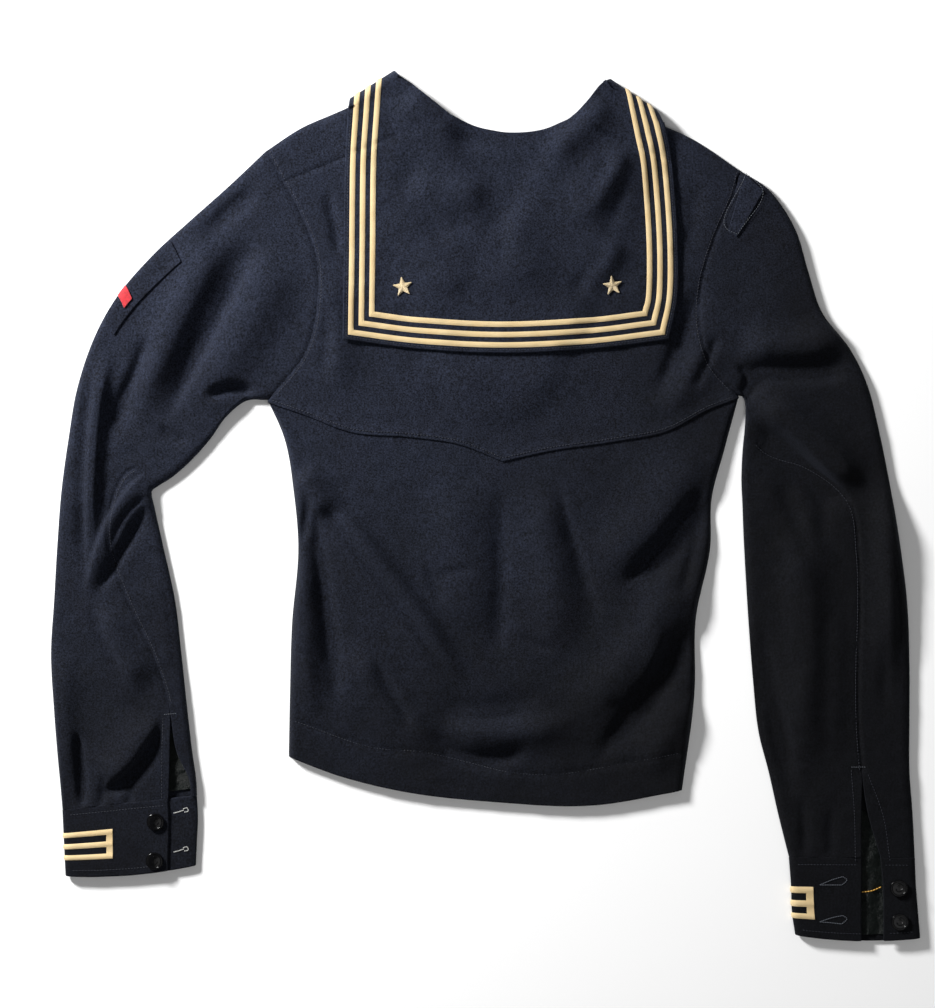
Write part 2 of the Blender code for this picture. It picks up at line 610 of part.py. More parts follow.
def collar_rows():
    """The collar's rows on the plan, from the left shoulder's fold to the right one's."""
    ridges = np.array([COLLAR_RIDGE_LEFT, COLLAR_RIDGE_RIGHT], float)
    edges = np.array([ridges[0, 1], *(line.edge for line in COLLAR_LINES), ridges[1, 1]], float)
    necks = np.array([ridges[0, 0], *(line.neck for line in COLLAR_LINES), ridges[1, 0]], float)
    steps = [unit(ridge[0] - ridge[1]) for ridge in ridges]
    near_edge = np.stack([set_in(edges, distance, *steps) for distance in TAPE_SIDES], axis=1)
    return collar_columns(near_edge, necks)


def collar_end(fold, side):
    """Lines of points across the collar's end under the front, from its tip up to the shoulder's fold."""
    start = fold + inward_steps(fold, LAPEL_END) * EDGE_UNDER
    away = np.array((side * CENTRE_GAP, 0))
    places = np.array([fold[-1], LAPEL_END + away])
    steps = unit(fold[0] - fold[-1]), np.array((0.0, 1.0))
    near_edge = np.array([set_in(places, distance, *steps)[-1] for distance in TAPE_SIDES])
    end = collar_columns(near_edge[None], np.array([SLIT_POINT + away]))[0]
    shares = np.arange(LAPEL_ROWS) / LAPEL_ROWS
    return [with_height(end + (start - end) * share, LAPEL_UNDER) for share in shares]


def collar_fold(fold, angles):
    """Lines of points across the collar as it rolls over a shoulder, in the order of the angles."""
    inward = inward_steps(fold, LAPEL_END)
    face = collar_face(fold + inward * EDGE_TOP)
    return round_edge(fold, inward, face, np.full(len(fold), LAPEL_UNDER), angles)


def collar_grid():
    """The whole collar's outer face: left end, left shoulder, square back, right shoulder, right end."""
    rows = collar_rows()
    angles = ROLL_UNDER[::-1] + ROLL_UP[::-1]
    grid = collar_end(rows[0], -1) + collar_fold(rows[0], angles)
    inner = [fold + inward_steps(fold, LAPEL_END) * EDGE_TOP for fold in (rows[0], rows[-1])]
    plans = [inner[0], *rows[1:-1], inner[1]]
    steps = [line.steps for line in COLLAR_LINES] + [1]
    grid.append(with_height(plans[0], collar_face(plans[0])))
    for before, after, count in zip(plans[:-1], plans[1:], steps):
        for share in np.linspace(0, 1, count + 1)[1:]:
            plan = before + (after - before) * share
            grid.append(with_height(plan, collar_face(plan)))
    return np.array(grid + collar_fold(rows[-1], angles[::-1]) + collar_end(rows[-1], 1)[::-1])


def make_collar(grid, wool):
    """The square collar in one piece."""
    return wall("collar", [(grid, True)], COLLAR_WOOL, wool)


def make_tapes(grid, braid):
    """The rows of white tape round the whole collar, each a pair of the collar's columns moved out."""
    raised = moved_out(grid[:, ::-1], LAID_ON + TAPE)
    for number, name in enumerate(TAPE_NAMES):
        first = 1 + 2 * number
        wall(f"collar_tape_{name}", [(raised[:, first:first + 2], False)], TAPE, braid)


def set_in(places, distance, start_step, end_step):
    """A line set in from a run of places on the plan, with its corners mitred."""
    along = np.diff(places, axis=0)
    along /= np.linalg.norm(along, axis=1, keepdims=True)
    side = np.stack([-along[:, 1], along[:, 0]], axis=1)
    inside = [places[0] + start_step * distance / max(abs(start_step @ side[0]), LEAST_SLANT)]
    for i in range(1, len(places) - 1):
        mitre = unit(side[i - 1] + side[i])
        inside.append(places[i] + mitre * distance / (mitre @ side[i]))
    inside.append(places[-1] + end_step * distance / max(abs(end_step @ side[-1]), LEAST_SLANT))
    return np.array(inside)


def unit(vector):
    """The vector at length one."""
    return np.array(vector, float) / np.linalg.norm(vector)


def moved_out(grid, distance):
    """A grid of points moved out of the cloth that they lie on."""
    rows, columns = grid.shape[:2]
    index = np.arange(rows * columns).reshape(rows, columns)
    faces = np.stack([index[:-1, :-1], index[1:, :-1], index[1:, 1:], index[:-1, 1:]], axis=-1)
    flat = grid.reshape(-1, 3)
    return (flat + distance * face_directions(flat, faces.reshape(-1, 4))).reshape(grid.shape)


def height_on(grid, plan):
    """Height of a grid's surface at plan points."""
    rows, columns = grid.shape[:2]
    index = np.arange(rows * columns).reshape(rows, columns)
    faces = np.stack([index[:-1, :-1], index[1:, :-1], index[1:, 1:], index[:-1, 1:]], axis=-1)
    tree = BVHTree.FromPolygons(grid.reshape(-1, 3).tolist(), faces.reshape(-1, 4).tolist())
    return np.array([tree.ray_cast((*place, FAR_ABOVE), (0, 0, -1))[0].z for place in plan])


def make_star(name, place, grid, braid):
    """An embroidered five-pointed star on the collar."""
    angles = np.radians(90 + 36 * np.arange(10))
    radii = np.where(np.arange(10) % 2, STAR_RADIUS * STAR_NOTCH, STAR_RADIUS)
    rim = np.stack([np.cos(angles), np.sin(angles)], axis=1) * radii[:, None] + place
    plan = np.concatenate([[place], rim])
    outer = np.column_stack([plan, height_on(grid, plan) + PATCH_EASE + TAPE])
    faces = np.array([(0, 1 + k, 1 + (k + 1) % 10) for k in range(10)])
    return solid(name, outer, outer - (0, 0, TAPE), faces, braid)


# The sleeves and cuffs

SLEEVE_FIRST_COLUMNS = {"left": 10, "right": 9}
SLEEVE_LAST_COLUMNS = {"left": 4, "right": 5}
SLEEVE_UNDER_COLUMNS = 8
CUFF_COLUMNS = 4
RINGS_PER_SECTION = 1.35
# The bend of the armhole is straightened over this many sections of the sleeve
ARMHOLE_FADE = 4.5
# Where the cuff's tape is followed under the cuff, as shares of the way to its end
BAND_SHARES = (0.3, 0.65, 0.95, 1)
TAB_ROWS, TAB_COLUMNS = 5, 3


class Tube:
    """A sleeve or cuff: its sections, and how its first section bends to meet the armhole."""

    def __init__(self, sections, armhole=None, away=0, lie=None, tuck=None, bottom_bow=0, under=0):
        self.rows = np.array([[*s.outer, *s.inner, s.first, s.last, s.roll] for s in sections], float)
        self.armhole, self.away, self.lie, self.tuck = armhole, away, lie, tuck
        self.bottom_bow, self.under = bottom_bow, under

    def at(self, row):
        """The section at a fractional row number."""
        return through(self.rows, np.arange(len(self.rows)), row)[0]

    def plan(self, row, shares):
        """Plan points of a section at shares of its width."""
        section = self.at(row)
        outer, inner = section[:2], section[2:4]
        shares = np.asarray(shares, float)[:, None]
        points = outer + (inner - outer) * shares
        if self.armhole is not None:
            seam = curve(self.armhole, shares[:, 0]) + (self.away, 0)
            chord = np.array(self.armhole[0]) + np.subtract(self.armhole[-1], self.armhole[0]) * shares
            points = points + (seam - chord) * (1 - smooth_step(row / ARMHOLE_FADE))
        if self.bottom_bow:
            lowest = row / (len(self.rows) - 1)
            points = points - (0, self.bottom_bow * lowest**2) * (4 * shares * (1 - shares))
        return points

    def ring(self, row, first_columns, last_columns, under_columns=SLEEVE_UNDER_COLUMNS):
        """Outer points of a ring: from the seam to the outer edge, under, and back up to the seam."""
        section = self.at(row)
        first, last, roll = section[4:7]
        width = np.linalg.norm(section[2:4] - section[:2])
        edge, foot = roll / width, min(EDGE_UNDER, roll) / width
        gap = SEAM / 2 / width if self.tuck is None else 0
        start = np.linspace(first - gap, edge, first_columns + 1)
        end = np.linspace(1 - edge, last + gap, last_columns + 1)
        parts = [self.lay(row, start, self.lie)]
        parts.append(self.turn(row, edge, foot, ROLL_UP, self.lie))
        parts.append(self.turn(row, edge, foot, ROLL_UNDER, self.lie))
        under = np.linspace(0, 1, under_columns + 1)[1:-1]
        parts.append(with_height(self.plan(row, under), self.under))
        lie = self.lie if self.tuck is None else self.tuck
        parts.append(self.turn(row, edge, foot, ROLL_UNDER[::-1], lie, far=True))
        parts.append(self.turn(row, edge, foot, ROLL_UP[::-1], lie, far=True))
        parts.append(self.lay(row, end, lie))
        return np.concatenate(parts)

    def lay(self, row, shares, lie):
        """Points on the upper face."""
        plan = self.plan(row, shares)
        return with_height(plan, upper_face(plan) if lie is None else lie)

    def turn(self, row, edge, foot, angles, lie, far=False):
        """Points round the outer edge of the arm, or round the inner edge when far."""
        lean = np.cos(np.radians(angles))
        rise = np.abs(np.sin(np.radians(angles)))
        reach = np.where(np.array(angles) > 0, edge, foot)
        shares = reach * (1 - lean)
        top = 1 - edge if far else edge
        plan = self.plan(row, 1 - shares if far else shares)
        face = upper_face(self.plan(row, [top]))[0] if lie is None else lie
        middle = self.under + EDGE_HEIGHT
        up = middle + (face - middle) * rise
        down = self.under + EDGE_HEIGHT * (1 - rise)
        return with_height(plan, np.where(np.array(angles) > 0, up, down))

    def band(self, row, shares, end):
        """Outer points from the given shares of the upper side, round the outer edge and under to end."""
        section = self.at(row)
        width = np.linalg.norm(section[2:4] - section[:2])
        edge, foot = section[6] / width, min(EDGE_UNDER, section[6]) / width
        parts = [self.lay(row, [*shares, edge], self.lie)]
        parts.append(self.turn(row, edge, foot, ROLL_UP, self.lie))
        parts.append(self.turn(row, edge, foot, ROLL_UNDER, self.lie))
        under = foot + (end - foot) * np.array(BAND_SHARES)
        parts.append(with_height(self.plan(row, under), self.under))
        return np.concatenate(parts)


def make_sleeve(side, tube, turned, wool):
    """A sleeve: one piece of cloth round the arm, open at the armhole, the cuff and the vent."""
    last = len(tube.rows) - 1
    rows = np.linspace(0, last, round(last * RINGS_PER_SECTION) + 1)
    grid = [tube.ring(row, SLEEVE_FIRST_COLUMNS[side], SLEEVE_LAST_COLUMNS[side]) for row in rows]
    return wall(f"sleeve_{side}", [(np.array(grid), turned)], WOOL, wool)


def make_cuff(side, tube, turned, wool):
    """A cuff: a doubled band round the wrist, unbuttoned."""
    last = len(tube.rows) - 1
    columns = (CUFF_COLUMNS,) * 3
    grid = [tube.ring(row, *columns) for row in np.linspace(0, last, CUFF_ROWS)]
    return wall(f"cuff_{side}", [(np.array(grid), turned)], CUFF_WOOL, wool)


def mirrored(sections):
    """The same sections, read from the other edge."""
    return [Section(s.inner, s.outer, 1 - s.last, 1 - s.first, s.roll) for s in sections]


def make_cuff_tape(side, tube, braid, cloth):
    """Three rows of white tape on a cuff, joined by a bar at each end."""
    edges = [place for row in braid.rows for place in (row - BRAID_SHARE / 2, row + BRAID_SHARE / 2)]
    grid = np.array([tube.band(row, (braid.start, braid.bar), braid.end) for row in edges])
    keep = np.zeros(np.subtract(grid.shape[:2], 1), bool)
    keep[::2] = True
    keep[:, 0] = keep[:, -1] = True
    raised = moved_out(grid[:, ::-1], LAID_ON + TAPE)[:, ::-1]
    return wall(f"cuff_tape_{side}", [(raised, True)], TAPE, cloth, keep)


def make_lining(side, table, satin):
    """Satin that shows in the vent above a cuff, lying on the sleeve's under side."""
    share = np.linspace(0, 1, LINING_COLUMNS + 1)
    grid = [with_height(curve((row.left, row.right), share), row.under + LINING) for row in table]
    return wall(f"cuff_lining_{side}", [(np.array(grid), False)], LINING, satin)


def make_button(name, place, height, plastic):
    """A button: a low dome with a rolled rim."""
    mesh = bmesh.new()
    angles = np.radians(np.arange(BUTTON_SIDES) * 360 / BUTTON_SIDES)
    around = np.stack([np.cos(angles), np.sin(angles)], axis=1)
    rings = []
    for radius, rise in BUTTON_PROFILE:
        level = height + rise * BUTTON_HEIGHT
        points = place + radius * BUTTON_RADIUS * (around if radius else around[:1])
        rings.append([mesh.verts.new(np.array([*point, level]) * MM) for point in points])
    for low, high in zip(rings[:-1], rings[1:]):
        for k in range(BUTTON_SIDES):
            after = (k + 1) % BUTTON_SIDES
            corners = [low[k % len(low)], low[after % len(low)], high[after % len(high)], high[k % len(high)]]
            mesh.faces.new(list(dict.fromkeys(corners)))
    data = bpy.data.meshes.new(name)
    mesh.to_mesh(data)
    mesh.free()
    data.shade_smooth()
    data.set_sharp_from_angle(angle=math.radians(50))
    data.materials.append(plastic)
    made = bpy.data.objects.new(name, data)
    bpy.context.scene.collection.objects.link(made)


def make_tab(wool):
    """The shoulder tab, a plain strip sewn on the sleeve beside the armhole."""
    a, b, c, d = (np.array(p, float) for p in TAB)
    grid = []
    for down in np.linspace(0, 1, TAB_ROWS + 1):
        left, right = a + (d - a) * down, b + (c - b) * down
        line = left + (right - left) * np.linspace(0, 1, TAB_COLUMNS + 1)[:, None]
        grid.append(with_height(line, upper_face(line) + PATCH_EASE + PATCH_WOOL))
    return wall("shoulder_tab", [(np.array(grid), False)], PATCH_WOOL, wool)


def arm_patch(name, tube, patch, lift, thickness, material):
    """A patch on the upper arm that runs from its back round to its outer edge."""
    grid = []
    for row in np.linspace(*patch.rows, patch.steps + 1):
        section = tube.at(row)
        edge = section[6] / np.linalg.norm(section[2:4] - section[:2])
        lay = tube.lay(row, np.linspace(patch.share, edge, patch.columns), None)
        grid.append(np.concatenate([lay, tube.turn(row, edge, edge, ROLL_UP[:1], None)]))
    raised = moved_out(np.array(grid)[:, ::-1], lift + thickness)
    return wall(name, [(raised, False)], thickness, material)


def main():
    """Builds the jumper."""
    for old in list(bpy.data.objects):
        bpy.data.objects.remove(old)
    wool = finish("navy_wool", (0.012, 0.014, 0.026), 0.85)
    braid = finish("cream_tape", (0.80, 0.66, 0.42), 0.7)
    satin = finish("green_satin", (0.035, 0.047, 0.04), 0.35)
    plastic = finish("black_plastic", (0.01, 0.01, 0.012), 0.25)
    felt = finish("red_felt", (0.42, 0.01, 0.02), 0.8)
    make_front(wool)
    make_back(wool)
    make_yoke(wool)
    collar = collar_grid()
    make_collar(collar, wool)
    make_tapes(collar, braid)
    for name, place in STARS:
        make_star(name, place, collar, braid)
    left = Tube(SLEEVE_LEFT, ARMHOLE_LEFT, -ARMHOLE_SEAM)
    right = Tube(SLEEVE_RIGHT, ARMHOLE_RIGHT, ARMHOLE_SEAM)
    make_sleeve("left", left, True, wool)
    make_sleeve("right", right, False, wool)
    cuff = {"lie": CUFF_LIE, "bottom_bow": CUFF_BOTTOM_BOW, "under": CUFF_UNDER}
    left_cuff = Tube(CUFF_LEFT, tuck=CUFF_TUCK, **cuff)
    right_cuff = Tube(CUFF_RIGHT, tuck=CUFF_LIE, **cuff)
    make_cuff("left", left_cuff, True, wool)
    make_cuff("right", right_cuff, False, wool)
    make_cuff_tape("left", left_cuff, BRAID_LEFT, braid)
    make_cuff_tape("right", Tube(mirrored(CUFF_RIGHT), **cuff), BRAID_RIGHT, braid)
    make_lining("left", LINING_LEFT, satin)
    make_lining("right", LINING_RIGHT, satin)
    for name, place in BUTTONS:
        make_button(name, place, CUFF_LIE + LAID_ON, plastic)
    make_tab(wool)
    arm_patch("sleeve_badge", left, BADGE, PATCH_EASE, PATCH_WOOL, wool)
    arm_patch("badge_chevron", left, CHEVRON, 2 * PATCH_EASE + PATCH_WOOL, CHEVRON_FELT, felt)


main()
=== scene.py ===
import math
from collections import namedtuple

import bmesh
import bpy
import numpy as np
import mathutils
from mathutils.bvhtree import BVHTree
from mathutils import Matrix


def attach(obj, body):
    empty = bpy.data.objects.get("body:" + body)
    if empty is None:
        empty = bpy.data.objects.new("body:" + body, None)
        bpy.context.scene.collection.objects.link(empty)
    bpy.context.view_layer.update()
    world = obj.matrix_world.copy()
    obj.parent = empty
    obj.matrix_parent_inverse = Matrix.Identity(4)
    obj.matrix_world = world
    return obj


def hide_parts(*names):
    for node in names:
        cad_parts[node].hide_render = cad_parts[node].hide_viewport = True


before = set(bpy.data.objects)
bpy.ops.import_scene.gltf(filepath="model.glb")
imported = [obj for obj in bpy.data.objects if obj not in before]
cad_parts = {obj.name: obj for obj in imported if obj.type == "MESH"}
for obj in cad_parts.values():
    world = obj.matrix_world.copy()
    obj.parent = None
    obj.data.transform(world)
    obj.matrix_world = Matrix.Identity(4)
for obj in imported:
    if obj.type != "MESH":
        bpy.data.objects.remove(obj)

# The looks of a sailor's jumper in navy wool, laid flat on its front with its square collar upwards.
# X runs to the right across the back and Y up from the hem to the neck, in metres, and the origin
# lies on the surface under the middle of the jumper. Tables and sizes below are in millimetres.

bl_info = {
    "name": "Sailor jumper",
    "version": (1, 0, 0),
    "blender": (4, 5, 0),
    "location": "3D View > Sidebar > Jumper",
    "description": "Builds a navy-wool sailor jumper laid flat, with its sewing and its cloth",
    "category": "Object",
}

MM = 0.001

# Thickness of each cloth, and the gaps between pieces
WOOL = 1.5
COLLAR_WOOL = 2.0
CUFF_WOOL = 2.0
LINING = 0.8
PATCH_WOOL = 0.9
SEAM = 0.4
PATCH_EASE = 0.8
COLLAR_EASE = 1.6

# Height of the outer face of the upper cloth where it lies quietly, and the round of its side edges
LIE = 8.2
LEAST_LIE = 3.7
MOST_LIE = 19.0
EDGE_TOP = 8.0
EDGE_UNDER = 3.0
EDGE_HEIGHT = 3.0

# The collar's cream tape: its width, the step from one row to the next, and the cloth left outside it
TAPE_WIDTH = 5.0
TAPE_STEP = 9.8
TAPE_MARGIN = 4.2
TAPE_NAMES = ("outer", "middle", "inner")

STAR_RADIUS = 9.2
STARS = (("collar_star_left", (-79, 207)), ("collar_star_right", (120, 208)))
BUTTON_RADIUS = 8.2
# Where the outline of the body turns, as places (x, y) on the plan
NECK_LEFT, NECK_RIGHT = (-34, 371), (80, 366)
YOKE_LEFT, YOKE_RIGHT = (-193, 307), (237, 301)
NECKLINE = ((-34, 371), (-10, 359), (13, 354), (34, 352), (58, 356), (80, 366))
YOKE_SEAM_LEFT = ((-207, 100), (-172, 88), (-129, 72), (-72, 67), (-25, 60), (16, 44))
YOKE_SEAM_RIGHT = ((16, 44), (56, 53), (123, 63), (170, 72), (213, 94), (240, 104))
HEM = ((-187, -239), (-139, -257), (-82, -271), (13, -282), (99, -285), (186, -271))
SIDE_LEFT = ((-207, 100), (-192, 66), (-182, 10), (-178, -38), (-184, -114), (-186, -185), (-187, -239))
SIDE_RIGHT = ((240, 104), (226, 52), (214, 5), (213, -38), (199, -109), (198, -176), (186, -271))
ARMHOLE_LEFT = ((-209, 337), (-193, 307), (-177, 278), (-162, 238), (-160, 195), (-171, 147), (-207, 100))
ARMHOLE_RIGHT = ((242, 318), (237, 299), (218, 254), (205, 209), (204, 166), (212, 137), (240, 104))

# The shoulder edges, from the side of the neck to the armhole, of the body and of the collar over it
RIDGE_LEFT = ((-84, 408), (-127, 380), (-177, 358), (-209, 337))
RIDGE_RIGHT = ((115, 399), (154, 368), (197, 348), (242, 318))
COLLAR_RIDGE_LEFT = ((-88, 413), (-129, 387))
COLLAR_RIDGE_RIGHT = ((119, 405), (162, 376))

# The front's slit neck, hidden underneath: its lowest point, and where the collar's ends meet
SLIT_POINT = (13, 192)
LAPEL_END = (13, 130)
LAPEL_HALF_WIDTH = 36.0
LAPEL_RAMP = 28.0
LAPEL_LIFT = 3.7
LAPEL_UNDER = 1.1
CENTRE_GAP = 1.0

# The collar's cut: each row is a line across it, from the neck to its free edge
CollarLine = namedtuple("CollarLine", "name neck edge steps")
COLLAR_LINES = (
    CollarLine("left shoulder", (-82, 406), (-130, 373), 2),
    CollarLine("left side, upper", (-71, 399), (-133, 323), 3),
    CollarLine("left side, lower", (-54, 386), (-134, 238), 3),
    CollarLine("left corner", (-35, 371), (-135, 158), 3),
    CollarLine("bottom, left", (-11, 359), (-63, 149), 3),
    CollarLine("bottom, middle", (20, 353), (16, 145), 3),
    CollarLine("bottom, right", (51, 355), (99, 149), 3),
    CollarLine("right corner", (77, 365), (173, 158), 2),
    CollarLine("right side, low", (86, 372), (181, 200), 3),
    CollarLine("right side, mid", (98, 385), (181, 256), 3),
    CollarLine("right side, upper", (108, 397), (176, 323), 3),
    CollarLine("right shoulder", (114, 402), (169, 359), 2),
)
# The tapes run closer together where the collar's edge meets a fold at a slant, down to this share
LEAST_SLANT = 0.8

# The sleeves: each section runs from the outer edge of the arm to its inner edge. first and last say
# where the cloth begins and ends, as shares of the width, on each side of the seam and cuff vent.
Section = namedtuple("Section", "outer inner first last roll")
SLEEVE_LEFT = (
    Section((-209, 337), (-207, 100), 0.93, 0.93, 8),
    Section((-245, 303), (-228, 99), 0.93, 0.93, 8),
    Section((-281, 271), (-247, 84), 0.93, 0.93, 8),
    Section((-317, 238), (-263, 62), 0.93, 0.93, 8),
    Section((-350, 200), (-281, 42), 0.92, 0.92, 8),
    Section((-373, 159), (-298, 27), 0.88, 0.88, 8),
    Section((-389, 111), (-312, 18), 0.80, 0.80, 8),
    Section((-397, 65), (-318, 12), 0.68, 0.68, 8),
    Section((-404, 14), (-315, -4), 0.55, 0.55, 8),
    Section((-408, -38), (-307, -40), 0.49, 0.49, 8),
    Section((-411, -90), (-296, -90), 0.61, 0.61, 8),
    Section((-414, -142), (-290, -140), 0.78, 0.78, 8),
    Section((-411, -195), (-285, -187), 0.865, 0.87, 6),
    Section((-408, -233), (-280, -231), 0.835, 0.89, 5),
    Section((-405, -266), (-276, -259), 0.80, 0.955, 4),
    Section((-403, -289), (-275, -276), 0.785, 0.965, 3),
)
SLEEVE_RIGHT = (
    Section((242, 318), (240, 104), 0.93, 0.93, 8),
    Section((270, 299), (245, 103), 0.93, 0.93, 8),
    Section((294, 263), (247, 98), 0.92, 0.92, 8),
    Section((307, 221), (247, 87), 0.92, 0.92, 8),
    Section((320, 183), (246, 71), 0.91, 0.91, 8),
    Section((346, 149), (244, 50), 0.88, 0.88, 8),
    Section((363, 114), (243, 24), 0.74, 0.74, 8),
    Section((374, 71), (244, 0), 0.50, 0.50, 8),
    Section((385, 16), (245, -28), 0.28, 0.28, 8),
    Section((394, -38), (247, -66), 0.27, 0.27, 8),
    Section((401, -95), (250, -114), 0.30, 0.30, 8),
    Section((403, -152), (254, -166), 0.33, 0.33, 8),
    Section((403, -204), (259, -214), 0.338, 0.338, 8),
    Section((403, -252), (269, -254), 0.338, 0.345, 8),
    Section((406, -294), (278, -294), 0.33, 0.39, 8),
    Section((408, -335), (288, -334), 0.27, 0.433, 7),
)
# The cuffs go on from the sleeves. On the left one the cloth runs on under itself.
CUFF_LEFT = (
    Section((-403, -290), (-275, -277), 0.778, 0.64, 7),
    Section((-402, -311), (-274, -298), 0.78, 0.64, 7),
    Section((-401, -332), (-275, -321), 0.78, 0.64, 7),
    Section((-400, -352), (-276, -342), 0.78, 0.64, 7),
)
CUFF_RIGHT = (
    Section((408, -336), (288, -335), 0.27, 0.433, 7),
    Section((409, -361), (290, -361), 0.26, 0.445, 7),
    Section((411, -387), (291, -387), 0.27, 0.46, 7),
    Section((413, -411), (294, -408), 0.29, 0.48, 7),
)
CUFF_LIE = 8.2
CUFF_TUCK = 5.9
CUFF_UNDER = 1.1
CUFF_BOTTOM_BOW = 4.0

# The cuff's cream tape: three rows between two end bars, on the upper side from start, under to end
Braid = namedtuple("Braid", "start bar end rows")
BRAID_LEFT = Braid(0.367, 0.322, 0.72, (1.16, 1.66, 2.16))
BRAID_RIGHT = Braid(0.173, 0.118, 0.78, (1.17, 1.65, 2.13))
BRAID_SHARE = 0.22

# Satin that lines the vents above the cuffs: its corners, from the wrist's outer side round
LiningRow = namedtuple("LiningRow", "left right under")
LINING_LEFT = (
    LiningRow((-319, -215), (-287, -219), 1.9),
    LiningRow((-318, -244), (-283, -246), 1.9),
    LiningRow((-318, -274), (-281, -270), 1.9),
)
LINING_RIGHT = (
    LiningRow((349, -286), (386, -305), 1.9),
    LiningRow((349, -316), (387, -320), 1.9),
    LiningRow((350, -331), (388, -332), 3.6),
    LiningRow((352, -370), (390, -370), 3.6),
    LiningRow((353, -408), (391, -408), 3.6),
)
# Buttons, all undone, with the middle of each
BUTTONS = (
    ("cuff_button_left_upper", (-314, -301)),
    ("cuff_button_left_lower", (-315, -338)),
    ("cuff_button_right_upper", (392, -364)),
    ("cuff_button_right_lower", (393, -396)),
)
BUTTON_HEIGHT = 3.4

# The tab on the right shoulder, left without lettering, and the patch on the left upper arm
TAB = ((246, 314), (263, 298), (238, 255), (230, 260))
Patch = namedtuple("Patch", "rows share steps columns")
BADGE = Patch((2.55, 4.5), 0.125, 7, 3)
CHEVRON = Patch((3.75, 3.98), 0.085, 2, 2)
CHEVRON_FELT = 0.6

# Largest folds: a soft ridge (or, with a height below nothing, a trough) along a bent line from start
Fold = namedtuple("Fold", "name start bend end height left right")
FOLDS = (
    Fold("upper arm, long trough", (-213, 259), (-257, 209), (-312, 71), -3.0, 11, 13),
    Fold("upper arm, ridge beside it", (-191, 252), (-224, 166), (-286, 81), 5.0, 24, 20),
    Fold("upper arm, second ridge", (-248, 266), (-291, 185), (-343, 71), 5.5, 18, 20),
    Fold("upper arm, second trough", (-319, 166), (-327, 128), (-359, 57), -2.5, 10, 12),
    Fold("shoulder trough, left", (-213, 301), (-243, 280), (-276, 247), -2.0, 9, 9),
    Fold("outer arm ridge", (-357, 152), (-376, 71), (-374, -52), 5.0, 6, 26),
    Fold("elbow flap", (-319, 31), (-363, 5), (-382, -90), 5.6, 24, 2.4),
    Fold("armpit tuck, left", (-222, 105), (-238, 119), (-272, 98), -2.5, 6, 6),
    Fold("under the elbow flap", (-319, 0), (-342, -38), (-374, -90), -2.0, 9, 9),
    Fold("forearm ridge, left", (-369, -90), (-348, -138), (-319, -176), 3.5, 15, 12),
    Fold("cuff bulge, left", (-370, -269), (-327, -246), (-312, -197), 5.0, 22, 5),
    Fold("cuff crease, left", (-370, -277), (-327, -263), (-310, -212), -2.6, 7, 7),
    Fold("cuff pleat, left", (-390, -212), (-382, -247), (-383, -292), -2.6, 5, 5),
    Fold("edge ridge, left forearm", (-401, -128), (-403, -204), (-395, -280), 2.5, 12, 12),
    Fold("armpit crease, right", (239, 132), (289, 121), (348, 136), -4.0, 8, 9),
    Fold("ridge over the crease, right", (237, 152), (289, 145), (346, 157), 6.0, 16, 12),
    Fold("armpit tuck, right", (239, 92), (253, 121), (268, 126), -2.8, 8, 8),
    Fold("upper arm ridge, right", (253, 104), (303, 71), (352, 10), 7.5, 20, 11),
    Fold("upper arm trough, right", (249, 76), (298, 41), (346, -7), -3.6, 8, 14),
    Fold("forearm ridge, right", (298, 5), (304, -100), (304, -271), 5.0, 18, 16),
    Fold("forearm trough, right", (258, -100), (272, -185), (294, -299), -3.0, 8, 12),
    Fold("back of the arm, right", (379, 33), (387, -52), (378, -185), 5.0, 11, 13),
    Fold("side dart, left", (-180, 33), (-165, 16), (-148, -14), 5.0, 14, 14),
    Fold("side trough, left", (-160, -14), (-156, -90), (-137, -190), -2.4, 9, 11),
    Fold("side ridge, left", (-171, -33), (-174, -109), (-165, -214), 3.5, 12, 12),
    Fold("long back ridge, left", (-158, 12), (-86, -62), (-15, -176), 5.2, 9, 22),
    Fold("lower back ridge, left", (-134, -128), (-96, -185), (-34, -235), 4.5, 16, 16),
    Fold("lower back trough, left", (-118, -147), (-77, -209), (-15, -244), -2.2, 8, 8),
    Fold("bottom sag, upper", (-58, -185), (-1, -206), (56, -181), -2.0, 12, 12),
    Fold("bottom sag, lower", (-53, -225), (4, -259), (47, -225), -2.4, 9, 9),
    Fold("bottom roll", (-44, -209), (13, -228), (99, -204), 4.6, 14, 14),
    Fold("long back trough, right", (217, 26), (194, -52), (118, -83), -2.8, 12, 12),
    Fold("long back ridge, right", (203, 62), (165, -33), (99, -62), 4.5, 22, 26),
    Fold("side trough, right", (200, -90), (184, -176), (93, -254), -2.8, 12, 12),
    Fold("side ridge, right", (194, -52), (156, -147), (70, -214), 5.0, 26, 22),
    Fold("hem corner, right", (194, -176), (177, -223), (146, -256), 3.0, 16, 16),
    Fold("middle trough", (16, 33), (19, -62), (11, -176), -1.4, 16, 16),
    Fold("middle ridge, left", (-29, 33), (-25, -52), (-15, -128), 2.4, 24, 24),
    Fold("middle ridge, right", (51, 33), (63, -62), (70, -147), 3.0, 22, 18),
    Fold("middle trough, right", (72, 5), (89, -62), (110, -138), -1.6, 10, 14),
    Fold("yoke trough, right", (203, 225), (199, 166), (170, 98), -2.0, 9, 9),
    Fold("yoke ridge, right", (215, 157), (194, 119), (165, 76), 2.8, 14, 14),
    Fold("yoke ridge, left", (-148, 233), (-146, 166), (-134, 100), 2.4, 16, 16),
)
